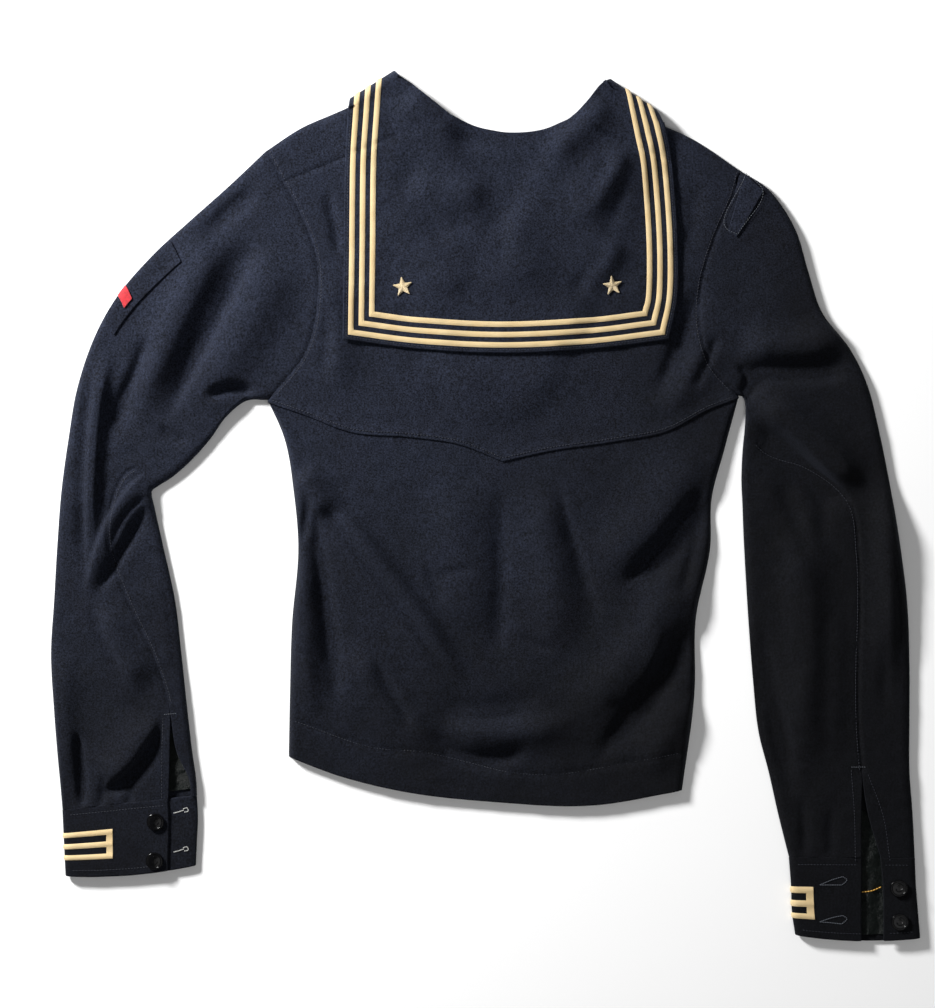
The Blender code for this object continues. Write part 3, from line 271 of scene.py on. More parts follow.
COLLAR_FOLDS = (
    Fold("neck roll, left", (-80, 392), (-63, 368), (-15, 347), 3.0, 14, 14),
    Fold("neck sag, left", (-78, 311), (-44, 285), (13, 301), 2.4, 18, 20),
    Fold("neck roll, right", (115, 389), (99, 356), (51, 328), 3.4, 16, 12),
    Fold("diagonal ridge, right", (135, 347), (120, 304), (80, 266), 3.6, 12, 18),
    Fold("middle mound", (13, 276), (37, 252), (42, 195), 2.2, 24, 24),
    Fold("corner ridge, right", (129, 254), (113, 231), (99, 204), 2.4, 12, 14),
    Fold("left mound", (-44, 261), (-34, 228), (-32, 195), 1.8, 24, 24),
)

# Finer creases on top of those: soft valleys, and ridges with a height above nothing
CREASES = (
    Fold("side notch, left, outer line", (-167, 12), (-171, -14), (-175, -38), -2.2, 3, 5),
    Fold("side notch, left, inner line", (-165, 9), (-152, -71), (-139, -204), -2.2, 4, 6),
    Fold("valley beside the long ridge", (-165, 10), (-86, -86), (-29, -166), -2.2, 4, 6),
    Fold("low valley, left", (-110, -142), (-86, -180), (-67, -218), -1.8, 4, 7),
    Fold("short valley, left", (-58, -57), (-48, -76), (-39, -95), -1.0, 5, 5),
    Fold("middle valley", (13, 28), (20, -81), (10, -147), -1.3, 5, 9),
    Fold("valley right of the middle", (66, 28), (80, -28), (108, -104), -1.4, 4, 8),
    Fold("side valley, right, upper", (213, 24), (170, -38), (127, -81), -2.2, 4, 8),
    Fold("side valley, right, deep", (191, -109), (161, -185), (99, -247), -2.4, 5, 10),
    Fold("side fold, right, short", (203, -14), (196, -52), (184, -90), -1.2, 5, 5),
    Fold("waist ridge, right", (156, -90), (167, -128), (146, -176), 1.2, 7, 9),
    Fold("small crease, left", (-51, -68), (-29, -62), (-6, -60), -0.8, 4, 4),
    Fold("small crease, right", (28, -123), (47, -134), (66, -139), -0.8, 4, 4),
    Fold("hem crease, lower", (-48, -228), (-10, -252), (32, -233), -1.8, 4, 6),
    Fold("hem crease, upper", (-34, -200), (4, -208), (47, -195), -1.4, 4, 6),
    Fold("hem crease, right", (108, -185), (139, -200), (173, -185), -1.0, 6, 7),
    Fold("hem crease, left", (-177, -128), (-160, -159), (-131, -176), -0.9, 6, 6),
    Fold("yoke valley, left, upper", (-153, 304), (-141, 266), (-139, 231), -1.8, 4, 6),
    Fold("yoke valley, left, lower", (-153, 195), (-146, 152), (-160, 114), -1.0, 6, 6),
    Fold("yoke valley, right", (196, 195), (180, 147), (161, 98), -1.8, 5, 7),
    Fold("yoke valley by the armhole", (222, 166), (211, 133), (194, 104), -1.6, 4, 6),
    Fold("roll below the collar", (-91, 126), (13, 111), (123, 124), 0.9, 14, 18),
    Fold("shoulder hollow, right", (203, 309), (194, 276), (196, 238), -0.9, 8, 9),
    Fold("armpit valley, left", (-267, 103), (-241, 119), (-215, 104), -1.9, 4, 5),
    Fold("upper arm, deep line", (-219, 250), (-253, 171), (-308, 76), -2.8, 4, 8),
    Fold("upper arm, hook", (-310, 77), (-302, 64), (-279, 60), -1.3, 4, 5),
    Fold("upper arm, second line", (-319, 166), (-332, 124), (-360, 66), -2.2, 4, 6),
    Fold("outer arm line", (-370, 138), (-388, 52), (-381, -86), -2.2, 3, 8),
    Fold("shoulder hollow, left", (-222, 299), (-239, 286), (-259, 269), -1.1, 6, 6),
    Fold("upper arm, soft roll", (-232, 231), (-256, 195), (-274, 152), 1.2, 7, 8),
    Fold("elbow line, upper", (-317, 10), (-350, -3), (-359, -52), -1.8, 3, 4),
    Fold("elbow pocket", (-318, 7), (-343, -38), (-376, -94), -2.0, 4, 4),
    Fold("forearm valley, left", (-376, -95), (-367, -128), (-338, -171), -1.3, 5, 6),
    Fold("forearm, inner line", (-302, -52), (-298, -109), (-291, -176), -0.9, 5, 5),
    Fold("crescent above the cuff", (-307, -200), (-317, -254), (-369, -277), -2.2, 4, 4),
    Fold("cuff pleat", (-389, -214), (-381, -252), (-384, -291), -3.2, 2, 4),
    Fold("cuff gather", (-363, -252), (-364, -271), (-367, -292), -1.0, 4, 4),
    Fold("second cuff gather", (-338, -259), (-337, -274), (-340, -288), -0.9, 4, 4),
    Fold("armpit valley, right", (234, 131), (258, 132), (246, 90), -1.7, 4, 4),
    Fold("level valley, right arm", (256, 127), (310, 121), (344, 124), -2.2, 3, 7),
    Fold("line down to the hind seam", (253, 83), (304, 35), (348, 0), -2.4, 9, 3),
    Fold("ridge above that line", (270, 92), (319, 54), (361, 14), 2.2, 8, 9),
    Fold("hollow below that line", (275, 33), (298, -14), (310, -71), -1.6, 9, 9),
    Fold("elbow valley, right", (275, 83), (291, 62), (317, 47), -1.1, 6, 6),
    Fold("inner edge fold, right", (256, -152), (284, -200), (291, -256), -2.2, 4, 8),
    Fold("forearm hollow, upper", (317, 24), (322, -10), (319, -45), -1.0, 7, 8),
    Fold("forearm hollow, middle", (298, -57), (305, -114), (298, -176), -0.9, 7, 9),
    Fold("forearm roll, right", (336, -90), (331, -166), (334, -247), 1.0, 9, 9),
    Fold("hind-arm hollow, right", (374, -52), (381, -128), (378, -206), -0.9, 6, 7),
    Fold("cuff gather, right", (299, -273), (305, -304), (301, -341), -1.1, 5, 5),
    Fold("second cuff gather, right", (327, -285), (329, -311), (326, -341), -0.9, 5, 5),
)
COLLAR_CREASES = (
    Fold("neck valley, left", (-82, 383), (-29, 337), (15, 346), -1.5, 4, 9),
    Fold("neck roll, upper left", (-97, 389), (-55, 335), (18, 328), 0.9, 8, 8),
    Fold("left hollow", (-89, 328), (-48, 276), (-15, 202), -0.9, 6, 10),
    Fold("tape hollow, left", (-95, 256), (-84, 231), (-51, 195), -0.7, 7, 7),
    Fold("right hollow", (135, 309), (112, 259), (104, 195), -0.9, 8, 8),
    Fold("second neck valley", (-86, 332), (-58, 307), (13, 313), -0.8, 7, 9),
    Fold("neck valley, right", (124, 339), (106, 304), (89, 275), -1.7, 4, 9),
    Fold("lower valley, right", (114, 243), (99, 218), (78, 195), -1.3, 4, 8),
    Fold("middle hollow", (-44, 285), (-15, 252), (-6, 197), -0.6, 10, 12),
)
# Soft creases of the front's under side, which rise into the jumper
UNDER_CREASES = (
    Fold("chest, left", (-150, 150), (-110, 60), (-40, -20), 1.5, 9, 14),
    Fold("chest, right", (180, 130), (150, 40), (90, -40), 1.6, 14, 9),
    Fold("waist, left", (-170, -30), (-120, -110), (-50, -170), 1.4, 10, 12),
    Fold("waist, right", (190, -60), (150, -140), (70, -200), 1.6, 12, 10),
    Fold("middle", (20, 60), (8, -60), (15, -200), 1.0, 14, 12),
    Fold("hem, left", (-120, -200), (-70, -235), (-10, -240), 1.1, 9, 9),
    Fold("hem, right", (40, -230), (90, -252), (150, -225), 1.2, 9, 9),
)

# Folds are followed through this many short straight pieces, and fade over this share at each end
FOLD_PIECES = 10
FOLD_FADE = 0.3
# A fold is worked out this many of its widths away from its line
FOLD_REACH = 3

# The cloth is worked deeper than its solids, whose folds and creases are blunter
FOLD_TIMES, CREASE_TIMES, COLLAR_TIMES = 1.9, 2.3, 2.4

# Seams sink by this much over this width, with small puckers beside them
SEAM_DEPTH, SEAM_WIDTH = 1.1, 2.0
PUCKER_HEIGHT, PUCKER_STEP, PUCKER_REACH = 0.22, 8.5, 7.0
HEM_LINE = (
    (-185, -204), (-158, -214), (-110, -230), (-58, -235), (-20, -244),
    (23, -254), (66, -256), (108, -250), (151, -242), (187, -235),
)

# Sections of each sleeve between which the seam down its back shows
HIND_ROWS = {"left": (6.4, 12.0), "right": (5.2, 13.0)}

# The step of the grid on which heights are kept, and the places that it covers
FACE_STEP = 1.0
FACE_LOW, FACE_HIGH = (-430, -430), (430, 430)

# The yoke's edge laps over the back
LAP, LAP_RISE, LAP_REACH = 2.0, 1.7, 9.0

# Cloth with a rolled edge: the angles of the round between its two faces
RIM_ANGLES = (45, 0, -45)


def smooth_step(x):
    """0 below 0, 1 above 1, and a soft S between."""
    x = np.clip(x, 0, 1)
    return x * x * (3 - 2 * x)


def curve(points, shares):
    """Points at the given shares of the length of a smooth line through points."""
    points = np.array(points, float)
    steps = np.linalg.norm(np.diff(points, axis=0), axis=1)
    at = np.concatenate([[0.0], np.cumsum(steps)]) / steps.sum()
    return through(points, at, shares)


def through(values, at, where):
    """Values at where, on a smooth line that has the given values at the places at."""
    slopes = np.gradient(values, at, axis=0)
    where = np.clip(np.atleast_1d(np.asarray(where, float)), at[0], at[-1])
    i = np.clip(np.searchsorted(at, where, side="right") - 1, 0, len(at) - 2)
    span = (at[i + 1] - at[i])[:, None]
    f = (where - at[i])[:, None] / span
    start = values[i] * (2 * f**3 - 3 * f**2 + 1) + slopes[i] * span * (f**3 - 2 * f**2 + f)
    end = values[i + 1] * (3 * f**2 - 2 * f**3) + slopes[i + 1] * span * (f**3 - f**2)
    return start + end



def from_segment(plan, start, end):
    """Distance of plan points from the straight piece start to end, the share along it, and the side."""
    start, along = np.array(start, float), np.array(end, float) - np.array(start, float)
    to_point = plan - start
    share = np.clip(to_point @ along / (along @ along), 0, 1)
    away = to_point - share[..., None] * along
    side = along[0] * to_point[..., 1] - along[1] * to_point[..., 0]
    return np.linalg.norm(away, axis=-1), share, side


def fold_height(fold, plan):
    """Height that one fold adds at plan points."""
    t = np.linspace(0, 1, FOLD_PIECES + 1)[:, None]
    start, bend, end = (np.array(p, float) for p in (fold.start, fold.bend, fold.end))
    path = (1 - t) ** 2 * start + 2 * t * (1 - t) * bend + t**2 * end
    nearest = np.full(plan.shape[:-1], np.inf)
    along = np.zeros_like(nearest)
    left = np.zeros_like(nearest, bool)
    for i in range(FOLD_PIECES):
        distance, share, side = from_segment(plan, path[i], path[i + 1])
        closer = distance < nearest
        nearest = np.where(closer, distance, nearest)
        along = np.where(closer, (i + share) / FOLD_PIECES, along)
        left = np.where(closer, side > 0, left)
    width = np.where(left, fold.left, fold.right)
    fade = smooth_step(along / FOLD_FADE) * smooth_step((1 - along) / FOLD_FADE)
    return fold.height * np.exp(-((nearest / width) ** 2)) * fade


def from_line(line, plan):
    """Distance of plan points from a line of points, and the length along the line."""
    nearest = np.full(plan.shape[:-1], np.inf)
    along = np.zeros_like(nearest)
    length = 0.0
    for start, end in zip(line[:-1], line[1:]):
        step = math.dist(start, end)
        distance, share, _ = from_segment(plan, start, end)
        closer = distance < nearest
        nearest = np.where(closer, distance, nearest)
        along = np.where(closer, length + share * step, along)
        length += step
    return nearest, along


def lapel_lift(plan):
    """How far the front's cloth is lifted off the surface by the collar's ends folded under it."""
    lift = np.zeros(plan.shape[:-1])
    for ridge in (COLLAR_RIDGE_LEFT, COLLAR_RIDGE_RIGHT):
        top = np.mean(ridge, axis=0)
        distance = from_segment(plan, top, LAPEL_END)[0]
        share = (LAPEL_HALF_WIDTH + LAPEL_RAMP - distance) / LAPEL_RAMP
        lift = np.maximum(lift, LAPEL_LIFT * smooth_step(share))
    return lift


def ripples(plan, seed, count, shortest, longest):
    """An even, uneven-looking ripple: many waves of chosen lengths in all directions."""
    random = np.random.default_rng(seed)
    total = np.zeros(plan.shape[:-1])
    for _ in range(count):
        length = random.uniform(shortest, longest)
        turn, start = random.uniform(0, math.tau, 2)
        ahead = plan[..., 0] * math.cos(turn) + plan[..., 1] * math.sin(turn)
        total += np.sin(ahead * math.tau / length + start)
    return total / math.sqrt(count)


class Face:
    """Heights of a cloth face over the plan, kept on an even grid so that many folds are quick to add."""

    def __init__(self):
        self.low = np.array(FACE_LOW, float)
        x, y = (np.arange(low, high, FACE_STEP) for low, high in zip(FACE_LOW, FACE_HIGH))
        self.places = np.stack(np.meshgrid(x, y, indexing="ij"), axis=-1)
        self.heights = np.zeros(self.places.shape[:2])

    def near(self, points, reach):
        """The part of the grid within reach of some points."""
        low = (np.min(points, axis=0) - reach - self.low) / FACE_STEP
        high = (np.max(points, axis=0) + reach - self.low) / FACE_STEP
        return tuple(slice(max(int(a), 0), int(b) + 2) for a, b in zip(low, high))

    def add_folds(self, folds, times=1.0):
        """Adds folds, each near its own line, this many times as high as in their table."""
        for fold in folds:
            part = self.near((fold.start, fold.bend, fold.end), FOLD_REACH * max(fold.left, fold.right))
            self.heights[part] += times * fold_height(fold, self.places[part])

    def add_seam(self, line, depth=SEAM_DEPTH, width=SEAM_WIDTH):
        """Sinks the cloth along a seam and puckers it softly on both sides."""
        part = self.near(line, FOLD_REACH * PUCKER_REACH)
        distance, along = from_line(line, self.places[part])
        wave = np.sin(along * math.tau / PUCKER_STEP + 2.1 * np.sin(along / 23))
        pucker = PUCKER_HEIGHT * wave * np.exp(-((distance / PUCKER_REACH) ** 2))
        self.heights[part] += pucker - depth * np.exp(-((distance / width) ** 2))

    def at(self, plan):
        """Height at plan points."""
        spot = np.clip((plan - self.low) / FACE_STEP, 0, np.array(self.heights.shape) - 1.01)
        i = spot.astype(int)
        fx, fy = np.moveaxis(spot - i, -1, 0)
        x, y = np.moveaxis(i, -1, 0)
        low = self.heights[x, y] * (1 - fx) + self.heights[x + 1, y] * fx
        high = self.heights[x, y + 1] * (1 - fx) + self.heights[x + 1, y + 1] * fx
        return low * (1 - fy) + high * fy


def softly_above(height, least, softness=0.5):
    """Height, eased up so that it stays above least."""
    over = height - least
    return least + (over + np.sqrt(over**2 + softness**2)) / 2


def softly_below(height, most):
    """Height, eased down so that it stays below most."""
    return -softly_above(-height, -most, 2.0)


UPPER, COLLAR_TOP, UNDER = Face(), Face(), Face()


def hind_seam(tube, first_row, last_row):
    """The seam down the back of a sleeve, where the two edges of its cloth meet."""
    rows = np.linspace(first_row, last_row, 41)
    return np.array([tube.plan(row, [tube.at(row)[4]])[0] for row in rows])


def lay_faces(tubes):
    """Works out the faces of the upper cloth, the collar on it and the front's under side."""
    UPPER.add_folds(FOLDS, FOLD_TIMES)
    UPPER.add_folds(CREASES, CREASE_TIMES)
    across = np.linspace(0, 1, 61)
    seams = [curve(ARMHOLE_LEFT, across), curve(ARMHOLE_RIGHT, across), curve(HEM_LINE, across)]
    seams += [curve((NECK_LEFT, YOKE_LEFT), across[::3]), curve((NECK_RIGHT, YOKE_RIGHT), across[::3])]
    seams += [hind_seam(tube, *HIND_ROWS[side]) for side, tube in tubes.items()]
    for line in seams:
        UPPER.add_seam(line)
    UPPER.add_seam(yoke_seam(across) + (0, 3), depth=0.35, width=1.6)
    small = 0.16 * ripples(UPPER.places, 3, 26, 11, 24) + 0.3 * ripples(UPPER.places, 4, 26, 30, 90)
    lift = lapel_lift(UPPER.places)
    raised = softly_above(LIE + lift + UPPER.heights + small, lift + LEAST_LIE)
    UPPER.heights = softly_below(raised, lift + MOST_LIE)
    COLLAR_TOP.add_folds(COLLAR_FOLDS, COLLAR_TIMES)
    COLLAR_TOP.add_folds(COLLAR_CREASES, CREASE_TIMES)
    wave = 0.12 * ripples(UPPER.places, 5, 26, 14, 30) + 0.25 * ripples(UPPER.places, 6, 20, 40, 90)
    COLLAR_TOP.heights += UPPER.heights + COLLAR_EASE + COLLAR_WOOL + wave
    UNDER.add_folds(UNDER_CREASES)
    UNDER.heights += 0.25 * (1 + ripples(UPPER.places, 7, 20, 30, 80)) * (UNDER.heights > 0.02)
    UNDER.heights = np.maximum(UNDER.heights, 0)


def upper_face(plan):
    """Height of the outer face of the upper cloth at plan points."""
    return UPPER.at(plan)


def collar_face(plan):
    """Height of the collar's outer face where it lies on the back."""
    return COLLAR_TOP.at(plan)


def with_height(plan, height):
    """Plan points given a height."""
    return np.concatenate([plan, np.broadcast_to(height, plan.shape[:-1])[..., None]], axis=-1)


def patch_between(top, bottom, left, right, across, down):
    """A grid of plan points inside four edges that share their corners."""
    u, v = np.array(across)[None, :, None], np.array(down)[:, None, None]
    ruled = (1 - v) * top[None] + v * bottom[None] + (1 - u) * left[:, None] + u * right[:, None]
    corners = (1 - u) * (1 - v) * top[0] + u * (1 - v) * top[-1]
    return ruled - corners - (1 - u) * v * bottom[0] - u * v * bottom[-1]


def round_edge(edge, inward, face, under, angles):
    """Rows of points round an edge of the cloth, from its upper face down and under it.

    edge and inward are plan points and unit steps into the cloth, face gives the upper height and
    under the lower height at each, and an angle of 90 is the top of the round."""
    rows = []
    middle = (face + under) / 2 if np.ndim(face) else EDGE_HEIGHT
    middle = np.minimum(middle, under + EDGE_HEIGHT)
    for angle in angles:
        lean, rise = math.cos(math.radians(angle)), math.sin(math.radians(angle))
        reach = EDGE_TOP if angle > 0 else EDGE_UNDER
        end = face if angle > 0 else under
        plan = edge + inward * reach * (1 - lean)
        rows.append(with_height(plan, middle + (end - middle) * abs(rise)))
    return rows


def face_directions(points, faces):
    """The direction in which the surface faces at each point."""
    corners = points[faces]
    crosses = np.cross(corners[:, 2] - corners[:, 0], corners[:, -1] - corners[:, 1])
    total = np.zeros_like(points)
    for k in range(faces.shape[1]):
        np.add.at(total, faces[:, k], crosses)
    length = np.linalg.norm(total, axis=1, keepdims=True)
    return total / np.maximum(length, 1e-12)


def cell_corners(rows, columns):
    """The four corners of each cell of a grid, as indices into its points."""
    index = np.arange(rows * columns).reshape(rows, columns)
    return np.stack([index[:-1, :-1], index[1:, :-1], index[1:, 1:], index[:-1, 1:]], axis=-1)


def measured(grid):
    """Lengths along the rows and the columns of a grid of points, as a map of the cloth in metres."""
    across = np.linalg.norm(np.diff(grid, axis=1), axis=2)
    down = np.linalg.norm(np.diff(grid, axis=0), axis=2)
    u = np.concatenate([np.zeros((len(grid), 1)), np.cumsum(across, axis=1)], axis=1)
    v = np.concatenate([[0.0], np.cumsum(np.median(down, axis=1))])
    return np.stack([u, np.broadcast_to(v[:, None], u.shape)], axis=-1) * MM


def cloth(name, patches, thickness, material, keep=None, uv=None, rim=RIM_ANGLES):
    """A piece of cloth: the outer faces of its patches, the inner ones, and a rolled edge between."""
    points, faces, maps = [], [], []
    for number, (grid, turned) in enumerate(patches):
        quads = cell_corners(*grid.shape[:2]) + sum(map(len, points))
        quads = quads[keep] if keep is not None else quads.reshape(-1, 4)
        points.append(grid.reshape(-1, 3))
        maps.append((measured(grid) if uv is None else uv[number]).reshape(-1, 2))
        faces.append(quads[:, ::-1] if turned else quads)
    points, faces, maps = (np.concatenate(x) for x in (points, faces, maps))
    _, first, joined = np.unique(np.round(points, 3), axis=0, return_index=True, return_inverse=True)
    outer = points[first]
    spots = maps[faces]
    faces = joined.reshape(-1)[faces]
    directions = face_directions(outer, faces)
    return shell(name, outer, directions, thickness, faces, spots, material, rim)


def shell(name, outer, directions, thickness, faces, spots, material, rim):
    """Makes the object of a piece of cloth from its outer face and the directions in which it faces."""
    count = len(outer)
    used = np.unique(faces)
    renumber = np.full(count, -1)
    renumber[used] = np.arange(len(used))
    outer, directions, faces = outer[used], directions[used], renumber[faces]
    count = len(outer)
    inner = outer - thickness * directions
    ahead = np.stack([faces, np.roll(faces, -1, axis=1)], axis=-1).reshape(-1, 2)
    keys = ahead[:, 0] * count + ahead[:, 1]
    twins = ahead[:, 1] * count + ahead[:, 0]
    border = ahead[~np.isin(keys, twins)]
    spot_of = np.zeros((count, 2))
    spot_of[faces.reshape(-1)] = spots.reshape(-1, 2)
    outward = np.zeros_like(outer)
    for a, b in border:
        away = np.cross(outer[b] - outer[a], directions[a] + directions[b])
        outward[a] += away
        outward[b] += away
    edge = np.unique(border)
    outward[edge] /= np.maximum(np.linalg.norm(outward[edge], axis=1, keepdims=True), 1e-9)
    rows = [np.arange(count)]
    vertices = [outer, inner]
    total = 2 * count
    for angle in rim:
        lean, rise = math.cos(math.radians(angle)), math.sin(math.radians(angle))
        middle = (outer[edge] + inner[edge]) / 2
        vertices.append(middle + thickness / 2 * (outward[edge] * lean + directions[edge] * rise))
        row = np.full(count, -1)
        row[edge] = total + np.arange(len(edge))
        total += len(edge)
        rows.append(row)
    rows.append(count + np.arange(count))
    quads = [faces, faces[:, ::-1] + count]
    maps = [spots, spots[:, ::-1]]
    for high, low in zip(rows[:-1], rows[1:]):
        a, b = border.T
        quads.append(np.stack([high[b], high[a], low[a], low[b]], axis=1))
        maps.append(spot_of[np.stack([b, a, a, b], axis=1)])
    data = bpy.data.meshes.new(name)
    points = np.concatenate(vertices) * MM
    points[:, 2] = np.maximum(points[:, 2], 0.0)
    data.from_pydata(points.tolist(), [], [f.tolist() for q in quads for f in q])
    layer = data.uv_layers.new(name="cloth")
    flat = np.concatenate([m.reshape(-1, 2) for m in maps])
    layer.uv.foreach_set("vector", flat.astype(np.float32).ravel())
    data.shade_smooth()
    keep_edges_crisp(data, border, count)
    data.materials.append(material)
    made = bpy.data.objects.new(name, data)
    bpy.context.scene.collection.objects.link(made)
    corners = outer[faces] * MM
    crossed = np.cross(corners[:, 2] - corners[:, 0], corners[:, -1] - corners[:, 1])
    made["sheet_area"] = float(np.linalg.norm(crossed, axis=1).sum() / 2)
    return made


def keep_edges_crisp(data, border, count):
    """Stops the shading of a cloth's faces from running into its rolled edge."""
    ends = np.zeros(2 * len(data.edges), np.int64)
    data.edges.foreach_get("vertices", ends)
    ends = np.sort(ends.reshape(-1, 2), axis=1)
    both = np.sort(np.concatenate([border, border + count]), axis=1)
    far = 4 * count
    crisp = np.isin(ends[:, 0] * far + ends[:, 1], both[:, 0] * far + both[:, 1])
    marks = data.attributes.new("sharp_edge", "BOOLEAN", "EDGE")
    marks.data.foreach_set("value", crisp)


# The body

EDGE_COLUMNS = (0.0, 0.4, 1.1, 2.4, 4.0, 5.8, EDGE_TOP)
SHOULDER_SHARE = 0.36
SHOULDER_COLUMNS, NECK_COLUMNS = 52, 20
YOKE_ROWS, BACK_ROWS = 84, 124
FADE_ROWS_SHARE = 0.07
FRONT_COLUMNS, FRONT_FLAP_ROWS = 54, 14
SLIT_ROWS, CHEST_ROWS, SIDE_ROWS = 44, 16, 90
CHEST = (13, 100)
HEM_MIDDLE = (2, -281)
TURN_UP, TURN_UNDER = (75, 60, 45, 30, 15, 0), (-15, -30, -45, -60, -75, -90)


def body_columns(width):
    """Shares of the width for the columns of the back and yoke: close at the edges, then even."""
    left = np.linspace(EDGE_TOP / width, SHOULDER_SHARE, SHOULDER_COLUMNS + 1)[1:]
    middle = np.linspace(SHOULDER_SHARE, 0.5, NECK_COLUMNS + 1)[1:]
    half = np.concatenate([np.array(EDGE_COLUMNS) / width, left, middle])
    return np.concatenate([half, 1 - half[-2::-1]])


def yoke_seam(across):
    """The pointed seam between yoke and back."""
    left = curve(YOKE_SEAM_LEFT, across[across <= 0.5] * 2)
    return np.concatenate([left, curve(YOKE_SEAM_RIGHT, across[across > 0.5] * 2 - 1)])


def yoke_top(across):
    """The yoke's upper edge: shoulder seam, back neck, shoulder seam."""
    a, b = SHOULDER_SHARE, 1 - SHOULDER_SHARE
    left = curve((YOKE_LEFT, NECK_LEFT), across[across < a - 1e-9] / a)
    neck = curve(NECKLINE, (across[(across >= a - 1e-9) & (across <= b + 1e-9)] - a) / (b - a))
    right = curve((NECK_RIGHT, YOKE_RIGHT), (across[across > b + 1e-9] - b) / (1 - b))
    return np.concatenate([left, neck, right])


def part_of_curve(points, start, end, count):
    """Points along a curve between the places where it comes nearest to start and end."""
    dense = curve(points, np.linspace(0, 1, 401))
    ends = [np.argmin(np.linalg.norm(dense - np.array(p), axis=1)) / 400 for p in (start, end)]
    return curve(points, np.linspace(*ends, count))


def make_yoke(wool):
    """The yoke, from the shoulder seams and back neck down to the pointed seam, lapped on the back."""
    across = body_columns(np.hypot(*np.subtract(YOKE_SEAM_RIGHT[-1], YOKE_SEAM_LEFT[0])))
    down = np.linspace(0, 1, YOKE_ROWS + 1)
    left = part_of_curve(ARMHOLE_LEFT, YOKE_LEFT, ARMHOLE_LEFT[-1], len(down))
    right = part_of_curve(ARMHOLE_RIGHT, YOKE_RIGHT, ARMHOLE_RIGHT[-1], len(down))
    top, bottom = yoke_top(across), yoke_seam(across)
    top[0], top[-1], bottom[0], bottom[-1] = left[0], right[0], left[-1], right[-1]
    plan = patch_between(top, bottom, left, right, across, down)
    above_edge = plan[..., 1] - bottom[None, :, 1]
    plan[..., 1] -= LAP * smooth_step(1 - above_edge / 12)
    height = upper_face(plan) + LAP_RISE * smooth_step(1 - above_edge / LAP_REACH)
    return cloth("yoke", [(with_height(plan, height), False)], WOOL, wool)


def make_back(wool):
    """The back below the yoke, rounding down to the front at the side seams."""
    width = np.hypot(*np.subtract(YOKE_SEAM_RIGHT[-1], YOKE_SEAM_LEFT[0]))
    across = body_columns(width)
    down = np.linspace(0, 1, BACK_ROWS + 1)
    left, right = curve(SIDE_LEFT, down), curve(SIDE_RIGHT, down)
    plan = patch_between(yoke_seam(across), curve(HEM, across), left, right, across, down)
    face = upper_face(plan)
    side = across * width
    side = np.minimum(side, width - side)
    rise = np.sqrt(np.clip(1 - (1 - np.clip(side / EDGE_TOP, 0, 1)) ** 2, 0, 1))
    rounding = smooth_step(down / FADE_ROWS_SHARE)[:, None]
    foot = WOOL + SEAM
    height = foot + (face - foot) * (1 - rounding * (1 - rise[None]))
    return cloth("back", [(with_height(plan, height), False)], WOOL, wool)


def inward_steps(line, towards):
    """Unit steps on the plan, square to a line of points and pointing towards a place."""
    along = np.gradient(line, axis=0)
    step = np.stack([-along[:, 1], along[:, 0]], axis=1)
    step /= np.linalg.norm(step, axis=1, keepdims=True)
    turn = np.sign(((np.array(towards) - line) * step).sum(1, keepdims=True))
    return step * turn


def front_half(ridge, neck, seam_end, armhole, side, hem):
    """One half of the front: the flap over the shoulder, the shoulder's round, and the panel under."""
    across = np.linspace(0, 1, FRONT_COLUMNS + 1)
    seam = curve((neck, seam_end), across)
    edge = curve(ridge, across)
    inward = inward_steps(edge, SLIT_POINT)
    shoulder = edge + inward * EDGE_TOP
    grid = []
    for share in np.linspace(0, 1, FRONT_FLAP_ROWS + 1):
        plan = seam + (shoulder - seam) * share
        grid.append(with_height(plan, upper_face(plan)))
    under = lapel_lift(edge + inward * EDGE_UNDER)
    grid += round_edge(edge, inward, upper_face(shoulder), under, TURN_UP + TURN_UNDER)
    slit = curve((grid[-1][0, :2], SLIT_POINT), np.linspace(0, 1, SLIT_ROWS + 1))[1:]
    chest = curve((SLIT_POINT, CHEST), np.linspace(0, 1, CHEST_ROWS + 1))[1:]
    down = curve((CHEST, HEM_MIDDLE), np.linspace(0, 1, SIDE_ROWS + 1))[1:]
    shares = np.linspace(0, 1, SLIT_ROWS + CHEST_ROWS + 1)[1:]
    sides = np.concatenate([curve(armhole, shares), curve(side, np.linspace(0, 1, SIDE_ROWS + 1)[1:])])
    plans = [curve((middle, end), across) for middle, end in zip([*slit, *chest, *down], sides)]
    plans[-1] = hem(across)
    return np.array(grid + [with_height(plan, lapel_lift(plan) + UNDER.at(plan)) for plan in plans])


def make_front(wool):
    """The front, in one piece with its two shoulder flaps, slit at the neck."""
    left = front_half(RIDGE_LEFT, NECK_LEFT, YOKE_LEFT, ARMHOLE_LEFT, SIDE_LEFT, half_hem(-1))
    right = front_half(RIDGE_RIGHT, NECK_RIGHT, YOKE_RIGHT, ARMHOLE_RIGHT, SIDE_RIGHT, half_hem(1))
    return cloth("front", [(left, False), (right, True)], WOOL, wool)


def half_hem(side):
    """A function that gives the hem from its middle to the left (-1) or right (1) side."""
    return lambda across: curve(HEM, 0.5 + side * across / 2)


# The collar

# Columns run at the collar's edge and across each tape, then at shares of the way to the neck
TAPE_ARC = 4
TAPE_DISTANCES = [
    TAPE_MARGIN + TAPE_STEP * n + TAPE_WIDTH * k / TAPE_ARC
    for n in range(len(TAPE_NAMES))
    for k in range(TAPE_ARC + 1)
]
TAPE_SIDES = (0.0, 0.7, 2.2, *TAPE_DISTANCES)
FIRST_TAPE_COLUMN = 3
COLLAR_SHARES = tuple(np.linspace(0, 1, 30)[1:])
COLLAR_RUNS = ((0, 4, 88), (4, 8, 100), (8, 13, 92))
LAPEL_ROWS = 60

